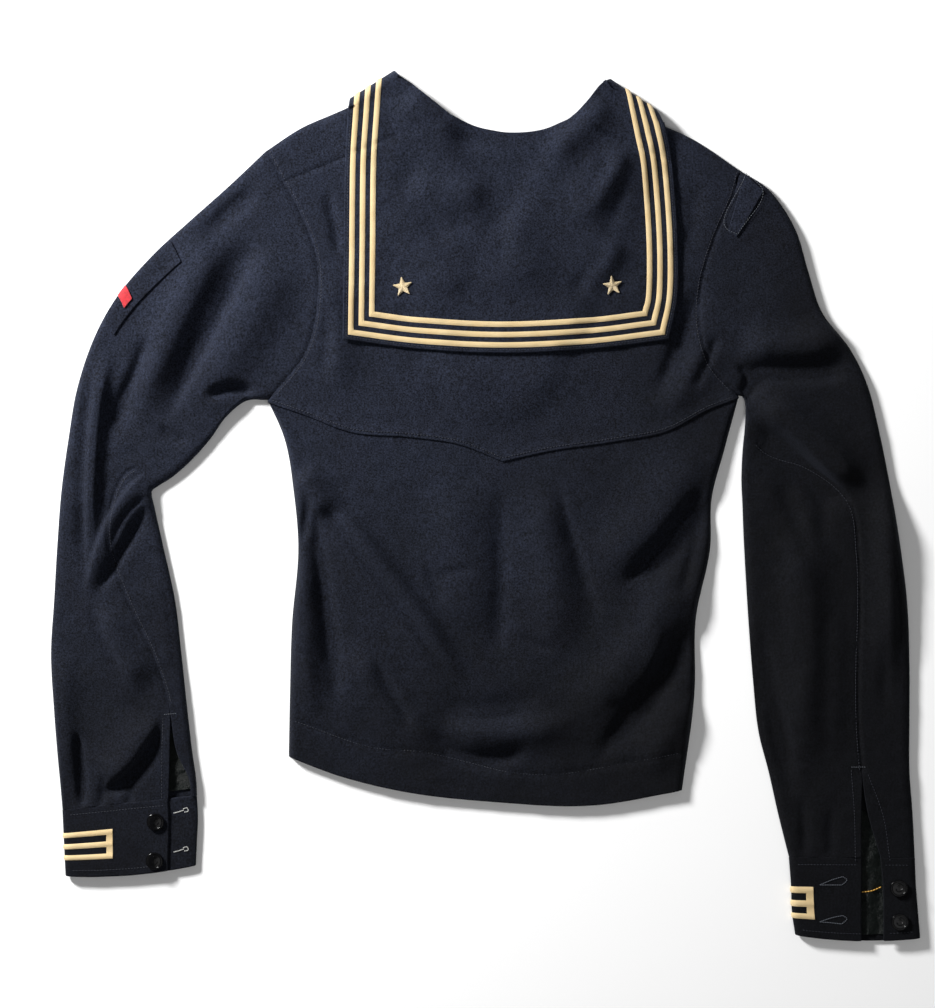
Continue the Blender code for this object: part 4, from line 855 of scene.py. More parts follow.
# How far each tape stands off the collar, the dome across it, and its thickness
TAPE_LIFT = 0.35
TAPE_DOME = 0.75
TAPE_THICKNESS = 0.6


def collar_columns(near_edge, necks):
    """Points from the neck to the free edge, one row for each neck point."""
    last = near_edge[:, -1]
    rest = np.stack([last + (necks - last) * share for share in COLLAR_SHARES], axis=1)
    return np.concatenate([near_edge, rest], axis=1)[:, ::-1]


def collar_rows():
    """The collar's rows on the plan, from the left shoulder's fold to the right one's."""
    ridges = np.array([COLLAR_RIDGE_LEFT, COLLAR_RIDGE_RIGHT], float)
    edges = np.array([ridges[0, 1], *(line.edge for line in COLLAR_LINES), ridges[1, 1]], float)
    necks = np.array([ridges[0, 0], *(line.neck for line in COLLAR_LINES), ridges[1, 0]], float)
    steps = [unit(ridge[0] - ridge[1]) for ridge in ridges]
    near_edge = np.stack([set_in(edges, distance, *steps) for distance in TAPE_SIDES], axis=1)
    return collar_columns(near_edge, necks)


def collar_end(fold, side):
    """Lines of points across the collar's end under the front, from its tip up to the shoulder's fold."""
    start = fold + inward_steps(fold, LAPEL_END) * EDGE_UNDER
    away = np.array((side * CENTRE_GAP, 0))
    places = np.array([fold[-1], LAPEL_END + away])
    steps = unit(fold[0] - fold[-1]), np.array((0.0, 1.0))
    near_edge = np.array([set_in(places, distance, *steps)[-1] for distance in TAPE_SIDES])
    end = collar_columns(near_edge[None], np.array([SLIT_POINT + away]))[0]
    shares = np.arange(LAPEL_ROWS) / LAPEL_ROWS
    return [with_height(end + (start - end) * share, LAPEL_UNDER) for share in shares]


def collar_fold(fold, inward, angles):
    """Lines of points across the collar as it rolls over a shoulder, in the order of the angles."""
    face = collar_face(fold + inward * EDGE_TOP)
    return round_edge(fold, inward, face, np.full(len(fold), LAPEL_UNDER), angles)


def towards_next(fold, after):
    """Steps from a shoulder's fold towards the collar's next row, one millimetre square to the fold."""
    ahead = after - fold
    square = np.maximum((ahead * inward_steps(fold, LAPEL_END)).sum(1, keepdims=True), 1.0)
    return ahead / square


def collar_grid():
    """The whole collar's outer face: left end, left shoulder, square back, right shoulder, right end."""
    rows = collar_rows()
    angles = TURN_UNDER[::-1] + TURN_UP[::-1]
    first, last = rows[0].copy(), rows[-1].copy()
    after_first, before_last = towards_next(first, rows[1]), towards_next(last, rows[-2])
    grid = collar_end(first, -1) + collar_fold(first, after_first, angles)
    rows[0] += after_first * EDGE_TOP
    rows[-1] += before_last * EDGE_TOP
    for start, end, count in COLLAR_RUNS:
        places = np.arange(start, end + 1)
        flat = rows[start:end + 1].reshape(len(places), -1)
        fine = through(flat, places, np.linspace(start, end, count + 1))
        plans = fine.reshape(count + 1, *rows.shape[1:])
        grid += [with_height(plan, collar_face(plan)) for plan in plans[0 if start == 0 else 1:]]
    return np.array(grid + collar_fold(last, before_last, angles[::-1]) + collar_end(last, 1)[::-1])


def make_collar(grid, wool):
    """The square collar in one piece."""
    return cloth("square_collar", [(grid, True)], COLLAR_WOOL, wool)


def domed(grid, rise):
    """A strip of a grid raised into a low dome across its columns."""
    across = np.linspace(-1, 1, grid.shape[1])
    return moved_out(grid[:, ::-1], TAPE_LIFT + rise * np.sqrt(np.clip(1 - across**2, 0, 1)))


def make_tapes(grid, braid):
    """The three rows of tape round the whole collar."""
    made = []
    for number, name in enumerate(TAPE_NAMES):
        first = FIRST_TAPE_COLUMN + (TAPE_ARC + 1) * number
        strip = grid[:, ::-1][:, first:first + TAPE_ARC + 1][:, ::-1]
        raised = domed(strip, TAPE_DOME)
        made.append(cloth(f"tape_{name}", [(raised, False)], TAPE_THICKNESS, braid, rim=(0,)))
    return made


def set_in(places, distance, start_step, end_step):
    """A line set in from a run of places on the plan, with its corners mitred."""
    along = np.diff(places, axis=0)
    along /= np.linalg.norm(along, axis=1, keepdims=True)
    side = np.stack([-along[:, 1], along[:, 0]], axis=1)
    inside = [places[0] + start_step * distance / max(abs(start_step @ side[0]), LEAST_SLANT)]
    for i in range(1, len(places) - 1):
        mitre = unit(side[i - 1] + side[i])
        inside.append(places[i] + mitre * distance / (mitre @ side[i]))
    inside.append(places[-1] + end_step * distance / max(abs(end_step @ side[-1]), LEAST_SLANT))
    return np.array(inside)


def unit(vector):
    """The vector at length one."""
    return np.array(vector, float) / np.linalg.norm(vector)


def moved_out(grid, distance):
    """A grid of points moved out of the cloth that they lie on, by one distance or one for each column."""
    flat = grid.reshape(-1, 3)
    directions = face_directions(flat, cell_corners(*grid.shape[:2]).reshape(-1, 4)).reshape(grid.shape)
    return grid + np.broadcast_to(distance, grid.shape[:2])[..., None] * directions


def tree_of(grid):
    """A search tree of a grid's surface."""
    corners = cell_corners(*grid.shape[:2]).reshape(-1, 4)
    return BVHTree.FromPolygons(grid.reshape(-1, 3).tolist(), corners.tolist())


def dropped_on(tree, plan):
    """Plan points given the height of a surface under them."""
    heights = [tree.ray_cast((*place, 100), (0, 0, -1))[0].z for place in np.reshape(plan, (-1, 2))]
    return with_height(plan, np.reshape(heights, np.shape(plan)[:-1]))


# Facets along each arm of a star, its inner radius as a share of its outer one, and its ridge, turn and base
STAR_STEPS = 7
STAR_NOTCH = 0.42
STAR_RIDGE = 1.0
STAR_TURN = 8
STAR_THICKNESS = 0.5


def make_star(name, place, tree, braid):
    """An embroidered five-pointed star: ten facets with a ridge along each arm."""
    vertices, faces, spots = [], [], []
    for arm in range(5):
        ahead = math.radians(90 + 72 * arm + STAR_TURN)
        along = np.array((math.cos(ahead), math.sin(ahead)))
        tip = along * STAR_RADIUS
        for side in (-1, 1):
            turn = ahead + side * math.radians(36)
            notch = np.array((math.cos(turn), math.sin(turn))) * STAR_RADIUS * STAR_NOTCH
            share = np.linspace(0, 1, STAR_STEPS + 1)
            ridge = tip * share[:, None]
            rim = notch + (tip - notch) * share[:, None]
            across = np.linspace(0, 1, STAR_STEPS + 1)
            plan = ridge[:, None] + (rim - ridge)[:, None] * across[None, :, None]
            height = STAR_RIDGE * (1 - across**1.5)[None] * (1 - 0.55 * share)[:, None]
            grid = dropped_on(tree, plan + place)
            grid[..., 2] += PATCH_EASE + height
            turned = side > 0
            vertices.append((grid, turned))
            spots = np.broadcast_arrays(plan @ along, plan @ (along[1], -along[0]))
            faces.append(np.stack(spots, axis=-1) * MM)
    return cloth(name, vertices, STAR_THICKNESS, braid, uv=faces, rim=(0,))


# The sleeves and cuffs

SLEEVE_FIRST_COLUMNS, SLEEVE_LAST_COLUMNS, SLEEVE_UNDER_COLUMNS = 56, 26, 26
SLEEVE_ROWS = 210
CUFF_COLUMNS, CUFF_ROWS = 34, 30


class Tube:
    """A sleeve or cuff: its sections, and how its first section bends to meet the armhole."""

    def __init__(self, sections, armhole=None, away=0, lie=None, tuck=None, bottom_bow=0, under=0):
        self.rows = np.array([[*s.outer, *s.inner, s.first, s.last, s.roll] for s in sections], float)
        self.armhole, self.away, self.lie, self.tuck = armhole, away, lie, tuck
        self.bottom_bow, self.under = bottom_bow, under

    def at(self, row):
        """The section at a fractional row number."""
        return through(self.rows, np.arange(len(self.rows)), row)[0]

    def plan(self, row, shares):
        """Plan points of a section at shares of its width."""
        section = self.at(row)
        outer, inner = section[:2], section[2:4]
        shares = np.asarray(shares, float)[:, None]
        points = outer + (inner - outer) * shares
        if self.armhole is not None:
            seam = curve(self.armhole, shares[:, 0]) + (self.away, 0)
            chord = np.array(self.armhole[0]) + np.subtract(self.armhole[-1], self.armhole[0]) * shares
            points = points + (seam - chord) * (1 - smooth_step(row / 4.5))
        if self.bottom_bow:
            lowest = row / (len(self.rows) - 1)
            points = points - (0, self.bottom_bow * lowest**2) * (4 * shares * (1 - shares))
        return points

    def ring(self, row, first_columns, last_columns, under_columns):
        """Outer points of a ring: from the seam to the outer edge, under, and back up to the seam."""
        section = self.at(row)
        first, last, roll = section[4:7]
        width = np.linalg.norm(section[2:4] - section[:2])
        edge, foot = roll / width, min(EDGE_UNDER, roll) / width
        start = np.linspace(first, edge, first_columns + 1)
        end = np.linspace(1 - edge, last, last_columns + 1)
        under = np.linspace(foot, 1 - foot, under_columns + 1)[1:-1]
        lie = self.lie if self.tuck is None else self.tuck
        return np.concatenate([
            self.lay(row, start, self.lie),
            self.turn(row, edge, foot, TURN_UP, self.lie),
            self.turn(row, edge, foot, TURN_UNDER, self.lie),
            with_height(self.plan(row, under), self.under),
            self.turn(row, edge, foot, TURN_UNDER[::-1], lie, far=True),
            self.turn(row, edge, foot, TURN_UP[::-1], lie, far=True),
            self.lay(row, end, lie),
        ])

    def lay(self, row, shares, lie):
        """Points on the upper face."""
        plan = self.plan(row, shares)
        return with_height(plan, upper_face(plan) if lie is None else lie + cuff_ripple(plan))

    def turn(self, row, edge, foot, angles, lie, far=False):
        """Points round the outer edge of the arm, or round the inner edge when far."""
        lean = np.cos(np.radians(angles))
        rise = np.abs(np.sin(np.radians(angles)))
        reach = np.where(np.array(angles) > 0, edge, foot)
        shares = reach * (1 - lean)
        top = self.plan(row, [1 - edge if far else edge])
        plan = self.plan(row, 1 - shares if far else shares)
        face = upper_face(top)[0] if lie is None else lie + cuff_ripple(top)[0]
        middle = self.under + EDGE_HEIGHT
        up = middle + (face - middle) * rise
        down = self.under + EDGE_HEIGHT * (1 - rise)
        return with_height(plan, np.where(np.array(angles) > 0, up, down))

    def band(self, row, shares, end):
        """Outer points from the given shares of the upper side, round the outer edge and under to end."""
        section = self.at(row)
        width = np.linalg.norm(section[2:4] - section[:2])
        edge, foot = section[6] / width, min(EDGE_UNDER, section[6]) / width
        under = foot + (end - foot) * np.concatenate([np.linspace(0, 1, 12)[1:-2], [0.95, 1]])
        return np.concatenate([
            self.lay(row, [*shares, edge], self.lie),
            self.turn(row, edge, foot, TURN_UP, self.lie),
            self.turn(row, edge, foot, TURN_UNDER, self.lie),
            with_height(self.plan(row, under), self.under),
        ])


def cuff_ripple(plan):
    """Small unevenness of a cuff's face."""
    return 0.22 * ripples(plan, 8, 12, 18, 50)


def make_sleeve(side, tube, turned, wool):
    """A sleeve: one piece of cloth round the arm, open at the armhole, the cuff and the vent."""
    rows = np.linspace(0, len(tube.rows) - 1, SLEEVE_ROWS + 1)
    grid = [tube.ring(row, SLEEVE_FIRST_COLUMNS, SLEEVE_LAST_COLUMNS, SLEEVE_UNDER_COLUMNS) for row in rows]
    return cloth(f"arm_{side}", [(np.array(grid), turned)], WOOL, wool)


def make_cuff(side, tube, turned, wool):
    """A cuff: a doubled band round the wrist, unbuttoned."""
    rows = np.linspace(0, len(tube.rows) - 1, CUFF_ROWS + 1)
    grid = [tube.ring(row, CUFF_COLUMNS, CUFF_COLUMNS // 2, CUFF_COLUMNS) for row in rows]
    return cloth(f"wristband_{side}", [(np.array(grid), turned)], CUFF_WOOL, wool)


def mirrored(sections):
    """The same sections, read from the other edge."""
    return [Section(s.inner, s.outer, 1 - s.last, 1 - s.first, s.roll) for s in sections]


BAND_ARC = 4


def make_cuff_tape(side, tube, braid, material):
    """Three rows of white tape on a cuff, joined by a bar at each end."""
    dome = np.linspace(-1, 1, BAND_ARC + 1)
    edges = [row + BRAID_SHARE / 2 * arc for row in braid.rows for arc in dome]
    shares = np.linspace(braid.start, braid.bar, 4)
    on_top = np.linspace(braid.bar, 0.06, 8)[1:-1]
    grid = np.array([tube.band(row, (*shares, *on_top), braid.end) for row in edges])
    keep = np.ones(np.subtract(grid.shape[:2], 1), bool)
    keep[BAND_ARC::BAND_ARC + 1] = False
    keep[:, :3] = keep[:, -2:] = True
    rise = np.tile(np.sqrt(np.clip(1 - dome**2, 0, 1)), 3)[:, None] * TAPE_DOME
    raised = moved_out(grid[:, ::-1], TAPE_LIFT + rise)[:, ::-1]
    return cloth(f"cuff_braid_{side}", [(raised, True)], TAPE_THICKNESS, material, keep, rim=(0,))


def make_lining(side, table, satin):
    """Satin that shows in the vent above a cuff, softly creased."""
    count = 3 * len(table) * 4
    table_rows = np.array([[*row.left, *row.right, row.under] for row in table], float)
    fine = through(table_rows, np.arange(len(table)), np.linspace(0, len(table) - 1, count))
    share = np.linspace(0, 1, 17)[:, None]
    grid = []
    for row in fine:
        plan = row[:2] + (row[2:4] - row[:2]) * share
        crease = 0.8 * ripples(plan, 9, 10, 7, 24)
        grid.append(with_height(plan, row[4] + LINING + 0.3 + crease))
    return cloth(f"satin_{side}", [(np.array(grid), False)], 0.5, satin)


def make_tab(wool):
    """The shoulder tab, a plain strip sewn on the sleeve beside the armhole."""
    a, b, c, d = (np.array(p, float) for p in TAB)
    grid = []
    for down in np.linspace(0, 1, 25):
        left, right = a + (d - a) * down, b + (c - b) * down
        line = left + (right - left) * np.linspace(0, 1, 9)[:, None]
        grid.append(with_height(line, upper_face(line) + PATCH_EASE + PATCH_WOOL))
    return cloth("tab", [(np.array(grid), False)], PATCH_WOOL, wool)


def arm_patch(name, tube, patch, lift, thickness, material):
    """A patch on the upper arm that runs from its back round to its outer edge."""
    grid = []
    for row in np.linspace(*patch.rows, patch.steps * 6 + 1):
        section = tube.at(row)
        edge = section[6] / np.linalg.norm(section[2:4] - section[:2])
        lay = tube.lay(row, np.linspace(patch.share, edge, patch.columns * 4), None)
        grid.append(np.concatenate([lay, tube.turn(row, edge, edge, TURN_UP[:3], None)]))
    raised = moved_out(np.array(grid)[:, ::-1], lift + thickness)
    return cloth(name, [(raised, False)], thickness, material)


# The sewing


STITCH_SIDES = 6
STITCH_GAP = 0.7
# Share of the stitch's length, size of the ring and rise, both in radii of the thread
STITCH_RINGS = ((0.0, 0.45, -0.9), (0.15, 0.95, 0.1), (0.5, 1.05, 0.55), (0.85, 0.95, 0.1), (1.0, 0.45, -0.9))


def stitches(vertices, faces, line_up, length, gap, radius):
    """Adds stitches along a line of points, each a small rounded rod sunk at both ends."""
    line, up = line_up
    steps = np.linalg.norm(np.diff(line, axis=0), axis=1)
    at = np.concatenate([[0.0], np.cumsum(steps)])
    count = max(int(at[-1] / (length + gap)), 1)
    for start in np.linspace(0, at[-1], count + 1)[:-1]:
        ends = [[np.interp(start + part, at, line[:, k]) for k in range(3)] for part in (0, length)]
        rod(vertices, faces, *np.array(ends), np.array(up, float), radius)


def stitch_row(name, lines, thread):
    """One object of topstitching along several lines."""
    sizes = bpy.context.scene.jumper_sizes
    vertices, faces = [], []
    for line_up in lines:
        stitches(vertices, faces, line_up, sizes.stitch / MM, STITCH_GAP, sizes.thread / MM)
    return thread_object(name, vertices, faces, thread)


def rod(vertices, faces, start, end, up, radius):
    """Adds one stitch: rings of points along an arc from start to end."""
    ahead = unit(end - start)
    side = unit(np.cross(up, ahead))
    up = np.cross(ahead, side)
    first = len(vertices)
    for share, size, rise in STITCH_RINGS:
        middle = start + (end - start) * share + up * radius * rise
        for k in range(STITCH_SIDES):
            turn = math.tau * k / STITCH_SIDES
            vertices.append(middle + radius * size * (side * math.cos(turn) + up * math.sin(turn)))
    for ring in range(len(STITCH_RINGS) - 1):
        for k in range(STITCH_SIDES):
            a, b = first + ring * STITCH_SIDES + k, first + ring * STITCH_SIDES + (k + 1) % STITCH_SIDES
            faces.append((a, b, b + STITCH_SIDES, a + STITCH_SIDES))
    last = first + (len(STITCH_RINGS) - 1) * STITCH_SIDES
    faces.append(tuple(range(first, first + STITCH_SIDES))[::-1])
    faces.append(tuple(range(last, last + STITCH_SIDES)))


def thread_object(name, vertices, faces, thread):
    """Makes the object of a row of stitches."""
    data = bpy.data.meshes.new(name)
    data.from_pydata((np.array(vertices) * MM).tolist(), [], faces)
    data.shade_smooth()
    data.materials.append(thread)
    made = bpy.data.objects.new(name, data)
    bpy.context.scene.collection.objects.link(made)
    return made


def on_face(line, face, lift=0.0):
    """A line of plan points laid on a face."""
    line = np.array(line, float)
    return with_height(line, face(line) + lift), (0, 0, 1)


# Shader building


class Socket:
    """A shader value that takes part in ordinary Python sums."""

    def __init__(self, shader, output):
        self.shader, self.output = shader, output

    def sum(self, kind, *values):
        """Joins this value with others by one step of arithmetic."""
        return self.shader.node("ShaderNodeMath", {"operation": kind}, dict(enumerate(values)))

    def __add__(self, other):
        return self.sum("ADD", self, other)

    def __sub__(self, other):
        return self.sum("SUBTRACT", self, other)

    def __rsub__(self, other):
        return self.sum("SUBTRACT", other, self)

    def __mul__(self, other):
        return self.sum("MULTIPLY", self, other)

    def __truediv__(self, other):
        return self.sum("DIVIDE", self, other)

    def __abs__(self):
        return self.sum("ABSOLUTE", self)

    __radd__ = __add__
    __rmul__ = __mul__

    def sine(self):
        """The sine of this value."""
        return self.sum("SINE", self)

    def above(self, low, high):
        """0 below low, 1 above high, smooth between."""
        settings = {"interpolation_type": "SMOOTHSTEP"}
        inputs = {"Value": self, "From Min": low, "From Max": high}
        return self.shader.node("ShaderNodeMapRange", settings, inputs)


class Shader:
    """A material under construction."""

    def __init__(self, name):
        self.material = bpy.data.materials.new(name)
        self.material.use_nodes = True
        self.tree = self.material.node_tree
        self.principled = self.tree.nodes["Principled BSDF"]

    def node(self, kind, settings=None, inputs=None, output=0):
        """Adds a node with settings and inputs, and gives one of its outputs."""
        made = self.tree.nodes.new(kind)
        for name, value in (settings or {}).items():
            setattr(made, name, value)
        self.fill(made, inputs or {})
        return Socket(self, made.outputs[output])

    def fill(self, made, inputs):
        """Sets or links the inputs of a node."""
        for name, value in inputs.items():
            if isinstance(value, Socket):
                self.tree.links.new(value.output, made.inputs[name])
            else:
                made.inputs[name].default_value = value

    def place(self):
        """The place on the object, in metres."""
        return self.node("ShaderNodeTexCoord", output="Object")

    def on_cloth(self):
        """Metres across and along the piece of cloth."""
        spot = self.node("ShaderNodeUVMap", {"uv_map": "cloth"})
        split = self.node("ShaderNodeSeparateXYZ", inputs={0: spot})
        return split, Socket(self, split.output.node.outputs[1])

    def noise(self, place, scale, detail=3, rough=0.55, squeeze=(1, 1, 1)):
        """Noise with this many waves to the metre, about 0.5."""
        moved = self.node("ShaderNodeVectorMath", {"operation": "MULTIPLY"}, {0: place, 1: squeeze})
        return self.node("ShaderNodeTexNoise", None,
                         {"Vector": moved, "Scale": scale, "Detail": detail, "Roughness": rough})

    def mix(self, share, a, b):
        """One colour passing to another."""
        return self.node("ShaderNodeMix", {"data_type": "RGBA"}, {0: share, 6: a, 7: b}, output=2)

    def scaled(self, tint, times):
        """A colour made lighter or darker."""
        return self.node("ShaderNodeVectorMath", {"operation": "SCALE"}, {0: tint, "Scale": times})

    def bump(self, height, distance, strength=1.0, normal=None):
        """A bump of this height in metres."""
        inputs = {"Height": height, "Distance": distance, "Strength": strength}
        if normal is not None:
            inputs["Normal"] = normal
        return self.node("ShaderNodeBump", None, inputs)

    def done(self, **inputs):
        """Fills the shader's own inputs and gives the material."""
        self.fill(self.principled, {name.replace("_", " "): value for name, value in inputs.items()})
        return self.material


def colour(rgb, times=1.0):
    """A property's colour with an alpha."""
    return (*(channel * times for channel in rgb), 1.0)


# Metres from one twill line of the wool to the next
TWILL = 0.0011


def wool_material(name, times=1.0):
    """Milled navy wool: fine twill under a short nap, with painted light that makes it bluer at the top and
    painted shade that makes it darker low on the right.
    """
    tones = bpy.context.scene.jumper_colours
    s = Shader(name)
    place = s.place()
    u, v = s.on_cloth()
    split = s.node("ShaderNodeSeparateXYZ", inputs={0: place})
    x, y = split, Socket(s, split.output.node.outputs[1])
    cloud = s.noise(place, 9, 3)
    mottle = s.noise(place, 85, 4, 0.6)
    fibre = s.noise(place, 1500, 3, 0.7)
    hair = s.noise(place, 420, 4, 0.75, (1, 0.35, 1))
    rightward = x.sum("MAXIMUM", x, -0.02)
    # Painted light and shade: lighter and bluer towards the top and left, darker low on the right, broken by
    # a soft random cloud
    high = (y * 1.3 - rightward * 1.9 + (cloud - 0.5) * 0.6 + 0.60).above(-0.1, 1.05)
    base = s.mix(high, colour(tones.navy_painted_shade, times), colour(tones.navy_painted_lit, times))
    grain = s.noise(place, 620, 2, 0.6)
    felted = (grain - 0.5) * 4.2 + (mottle - 0.5) * 0.8 + (hair - 0.5) * 1.8 + 1.0
    base = s.scaled(base, felted.sum("MAXIMUM", felted, 0.25))
    base = s.mix(fibre.above(0.62, 0.76) * 0.3, base, colour(tones.nap, times))
    twill = ((u + v * 0.8) * (math.tau / TWILL)).sine()
    ribs = ((u - v * 1.1) * (math.tau / (TWILL * 0.9))).sine()
    weave = twill * 0.5 + ribs * 0.2
    height = weave * 0.35 + fibre * 1.3 + hair * 0.9 + mottle * 0.7
    return s.done(
        Base_Color=base,
        Roughness=(mottle - 0.5) * 0.25 + 0.86,
        Specular_IOR_Level=0.10,
        Sheen_Weight=0.045,
        Sheen_Roughness=0.5,
        Sheen_Tint=(0.55, 0.62, 0.85, 1.0),
        Normal=s.bump(height, 0.00025, 0.8),
    )


def braid_material(name, ribs):
    """Cotton braid: a ribbed weave, cream gone slightly yellow, sewn down along both edges."""
    tones = bpy.context.scene.jumper_colours
    s = Shader(name)
    place = s.place()
    u, v = s.on_cloth()
    mottle = s.noise(place, 60, 4, 0.6)
    fibre = s.noise(place, 1900, 3, 0.7)
    middle = abs(u / (TAPE_WIDTH * MM) - 0.5) if ribs else u * 0
    rib = ((v + middle * 0.0016) * (math.tau / 0.0009)).sine()
    ends = ((u * (math.tau / 0.00075)).sine()) if ribs else rib * 0
    height = rib * 0.5 + ends * 0.35 + fibre * 0.8
    base = s.mix((mottle - 0.5) * 1.6 + 0.4, colour(tones.cream), colour(tones.cream_aged_and_shade))
    # Painted shade: the braid darkens in the valleys between its ribs
    base = s.mix((rib * -0.5 + 0.5) * 0.30, base, colour(tones.cream_shadow))
    base = s.mix(fibre.above(0.55, 0.8) * 0.3, base, colour(tones.cream_light))
    return s.done(
        Base_Color=base,
        Roughness=(mottle - 0.5) * 0.2 + 0.66,
        Specular_IOR_Level=0.3,
        Sheen_Weight=0.15,
        Normal=s.bump(height, 0.0003, 0.9),
    )


def star_material():
    """Satin stitch laid across each arm of a star."""
    tones = bpy.context.scene.jumper_colours
    s = Shader("star_thread")
    u, v = s.on_cloth()
    place = s.place()
    fibre = s.noise(place, 2200, 2, 0.6)
    threads = ((u + abs(v) * 0.35 + (fibre - 0.5) * 0.0001) * (math.tau / 0.00042)).sine()
    # Painted light and shade: each thread is lighter on its crown and darker between threads, in the aged
    # cream
    base = s.mix(threads * 0.5 + 0.5, colour(tones.cream_aged_and_shade), colour(tones.cream_light))
    base = s.mix(fibre.above(0.5, 0.8) * 0.3, base, colour(tones.cream_light))
    return s.done(
        Base_Color=base,
        Roughness=(fibre - 0.5) * 0.2 + 0.45,
        Sheen_Weight=0.2,
        Normal=s.bump(threads + fibre * 0.4, 0.00025, 0.9),
    )


def satin_material():
    """Dark green rayon satin with fine threads across it."""
    tones = bpy.context.scene.jumper_colours
    s = Shader("lining_satin")
    place = s.place()
    v = s.on_cloth()[1]
    mottle = s.noise(place, 120, 4, 0.6)
    threads = (v * (math.tau / 0.0006)).sine()
    fine = s.noise(place, 1500, 2, 0.6, (0.2, 1, 1))
    base = s.mix(mottle, colour(tones.satin), colour(tones.satin_light))
    base = s.mix(fine.above(0.5, 0.7) * 0.4, base, colour(tones.satin_light, 1.4))
    return s.done(
        Base_Color=base,
        Roughness=(fine - 0.5) * 0.2 + 0.36,
        Specular_IOR_Level=0.16,
        Normal=s.bump(mottle * 3 + threads * 0.15 + fine * 0.5, 0.0006, 1.0),
    )


def plastic_material():
    """Black moulded plastic, worn a little dull in places."""
    tones = bpy.context.scene.jumper_colours
    s = Shader("button_plastic")
    place = s.place()
    wear = s.noise(place, 700, 4, 0.65)
    fine = s.noise(place, 3500, 2, 0.6)
    base = s.mix(wear.above(0.45, 0.75) * 0.6, colour(tones.plastic), colour(tones.plastic, 2.4))
    return s.done(
        Base_Color=base,
        Roughness=wear.above(0.3, 0.8) * 0.12 + 0.10,
        Specular_IOR_Level=0.14,
        Normal=s.bump(wear * 0.4 + fine * 0.6, 0.00004, 0.6),
    )


def felt_material():
    """Red wool felt with pressed fibres."""
    tones = bpy.context.scene.jumper_colours
    s = Shader("chevron_felt")
    place = s.place()
    mottle = s.noise(place, 260, 4, 0.6)
    fibre = s.noise(place, 1500, 4, 0.75)
    base = s.mix(mottle.above(0.3, 0.7), colour(tones.red, 0.7), colour(tones.red, 1.25))
    base = s.mix(fibre.above(0.58, 0.75) * 0.3, base, colour(tones.red_light))
    return s.done(
        Base_Color=base,
        Roughness=(mottle - 0.5) * 0.2 + 0.85,
        Sheen_Weight=0.25,
        Normal=s.bump(fibre + mottle * 0.6, 0.0004, 0.8),
    )


def thread_material(name, tint, roughness=0.5):
    """Twisted sewing thread."""
    s = Shader(name)
    place = s.place()
    twist = s.noise(place, 2600, 2, 0.6)
    mottle = s.noise(place, 90, 3, 0.6)
    base = s.mix(twist.above(0.35, 0.65), colour(tint, 0.75), colour(tint, 1.3))
    base = s.mix((mottle - 0.5) * 0.8 + 0.3, base, colour(tint, 1.1))
    return s.done(
        Base_Color=base,
        Roughness=(twist - 0.5) * 0.3 + roughness,
        Normal=s.bump(twist, 0.0001, 0.6),
    )


def floor_material():
    """A plain pale floor, very faintly uneven."""
    tones = bpy.context.scene.jumper_colours
    s = Shader("floor_paint")
    place = s.place()
    cloud = s.noise(place, 3, 3)
    grain = s.noise(place, 300, 3)
    base = s.mix(cloud, colour(tones.floor, 0.985), colour(tones.floor))
    return s.done(
        Base_Color=base,
        Roughness=(grain - 0.5) * 0.1 + 0.8,
        Specular_IOR_Level=0.1,
        Normal=s.bump(grain, 0.00005, 0.3),
    )


# Sizes and colours that the panel offers


def size(name, description, default):
    """A property that holds a length in metres."""
    return bpy.props.FloatProperty(name=name, description=description, default=default,
                                   unit="LENGTH", subtype="DISTANCE")


def tone(name, description, default):
    """A property that holds a colour."""
    return bpy.props.FloatVectorProperty(name=name, description=description, default=default, size=3,
                                         subtype="COLOR", min=0.0, max=1.0)


class JumperSizes(bpy.types.PropertyGroup):
    """Sizes of the sewing, the buttons and the stage."""

    stitch: size("Stitch", "Length of one stitch", 0.0022)
    thread: size("Thread", "Radius of the sewing thread", 0.00024)
    button: size("Button", "Radius of a cuff button", BUTTON_RADIUS * MM)
    button_height: size("Button height", "Height of a cuff button", BUTTON_HEIGHT * MM)
    camera_height: size("Camera height", "Height of the camera over the surface", 3.0)
    view_height: size("View height", "Length of the surface that the picture shows", 0.9576)
    floor: size("Floor", "Length of a side of the floor", 9.0)


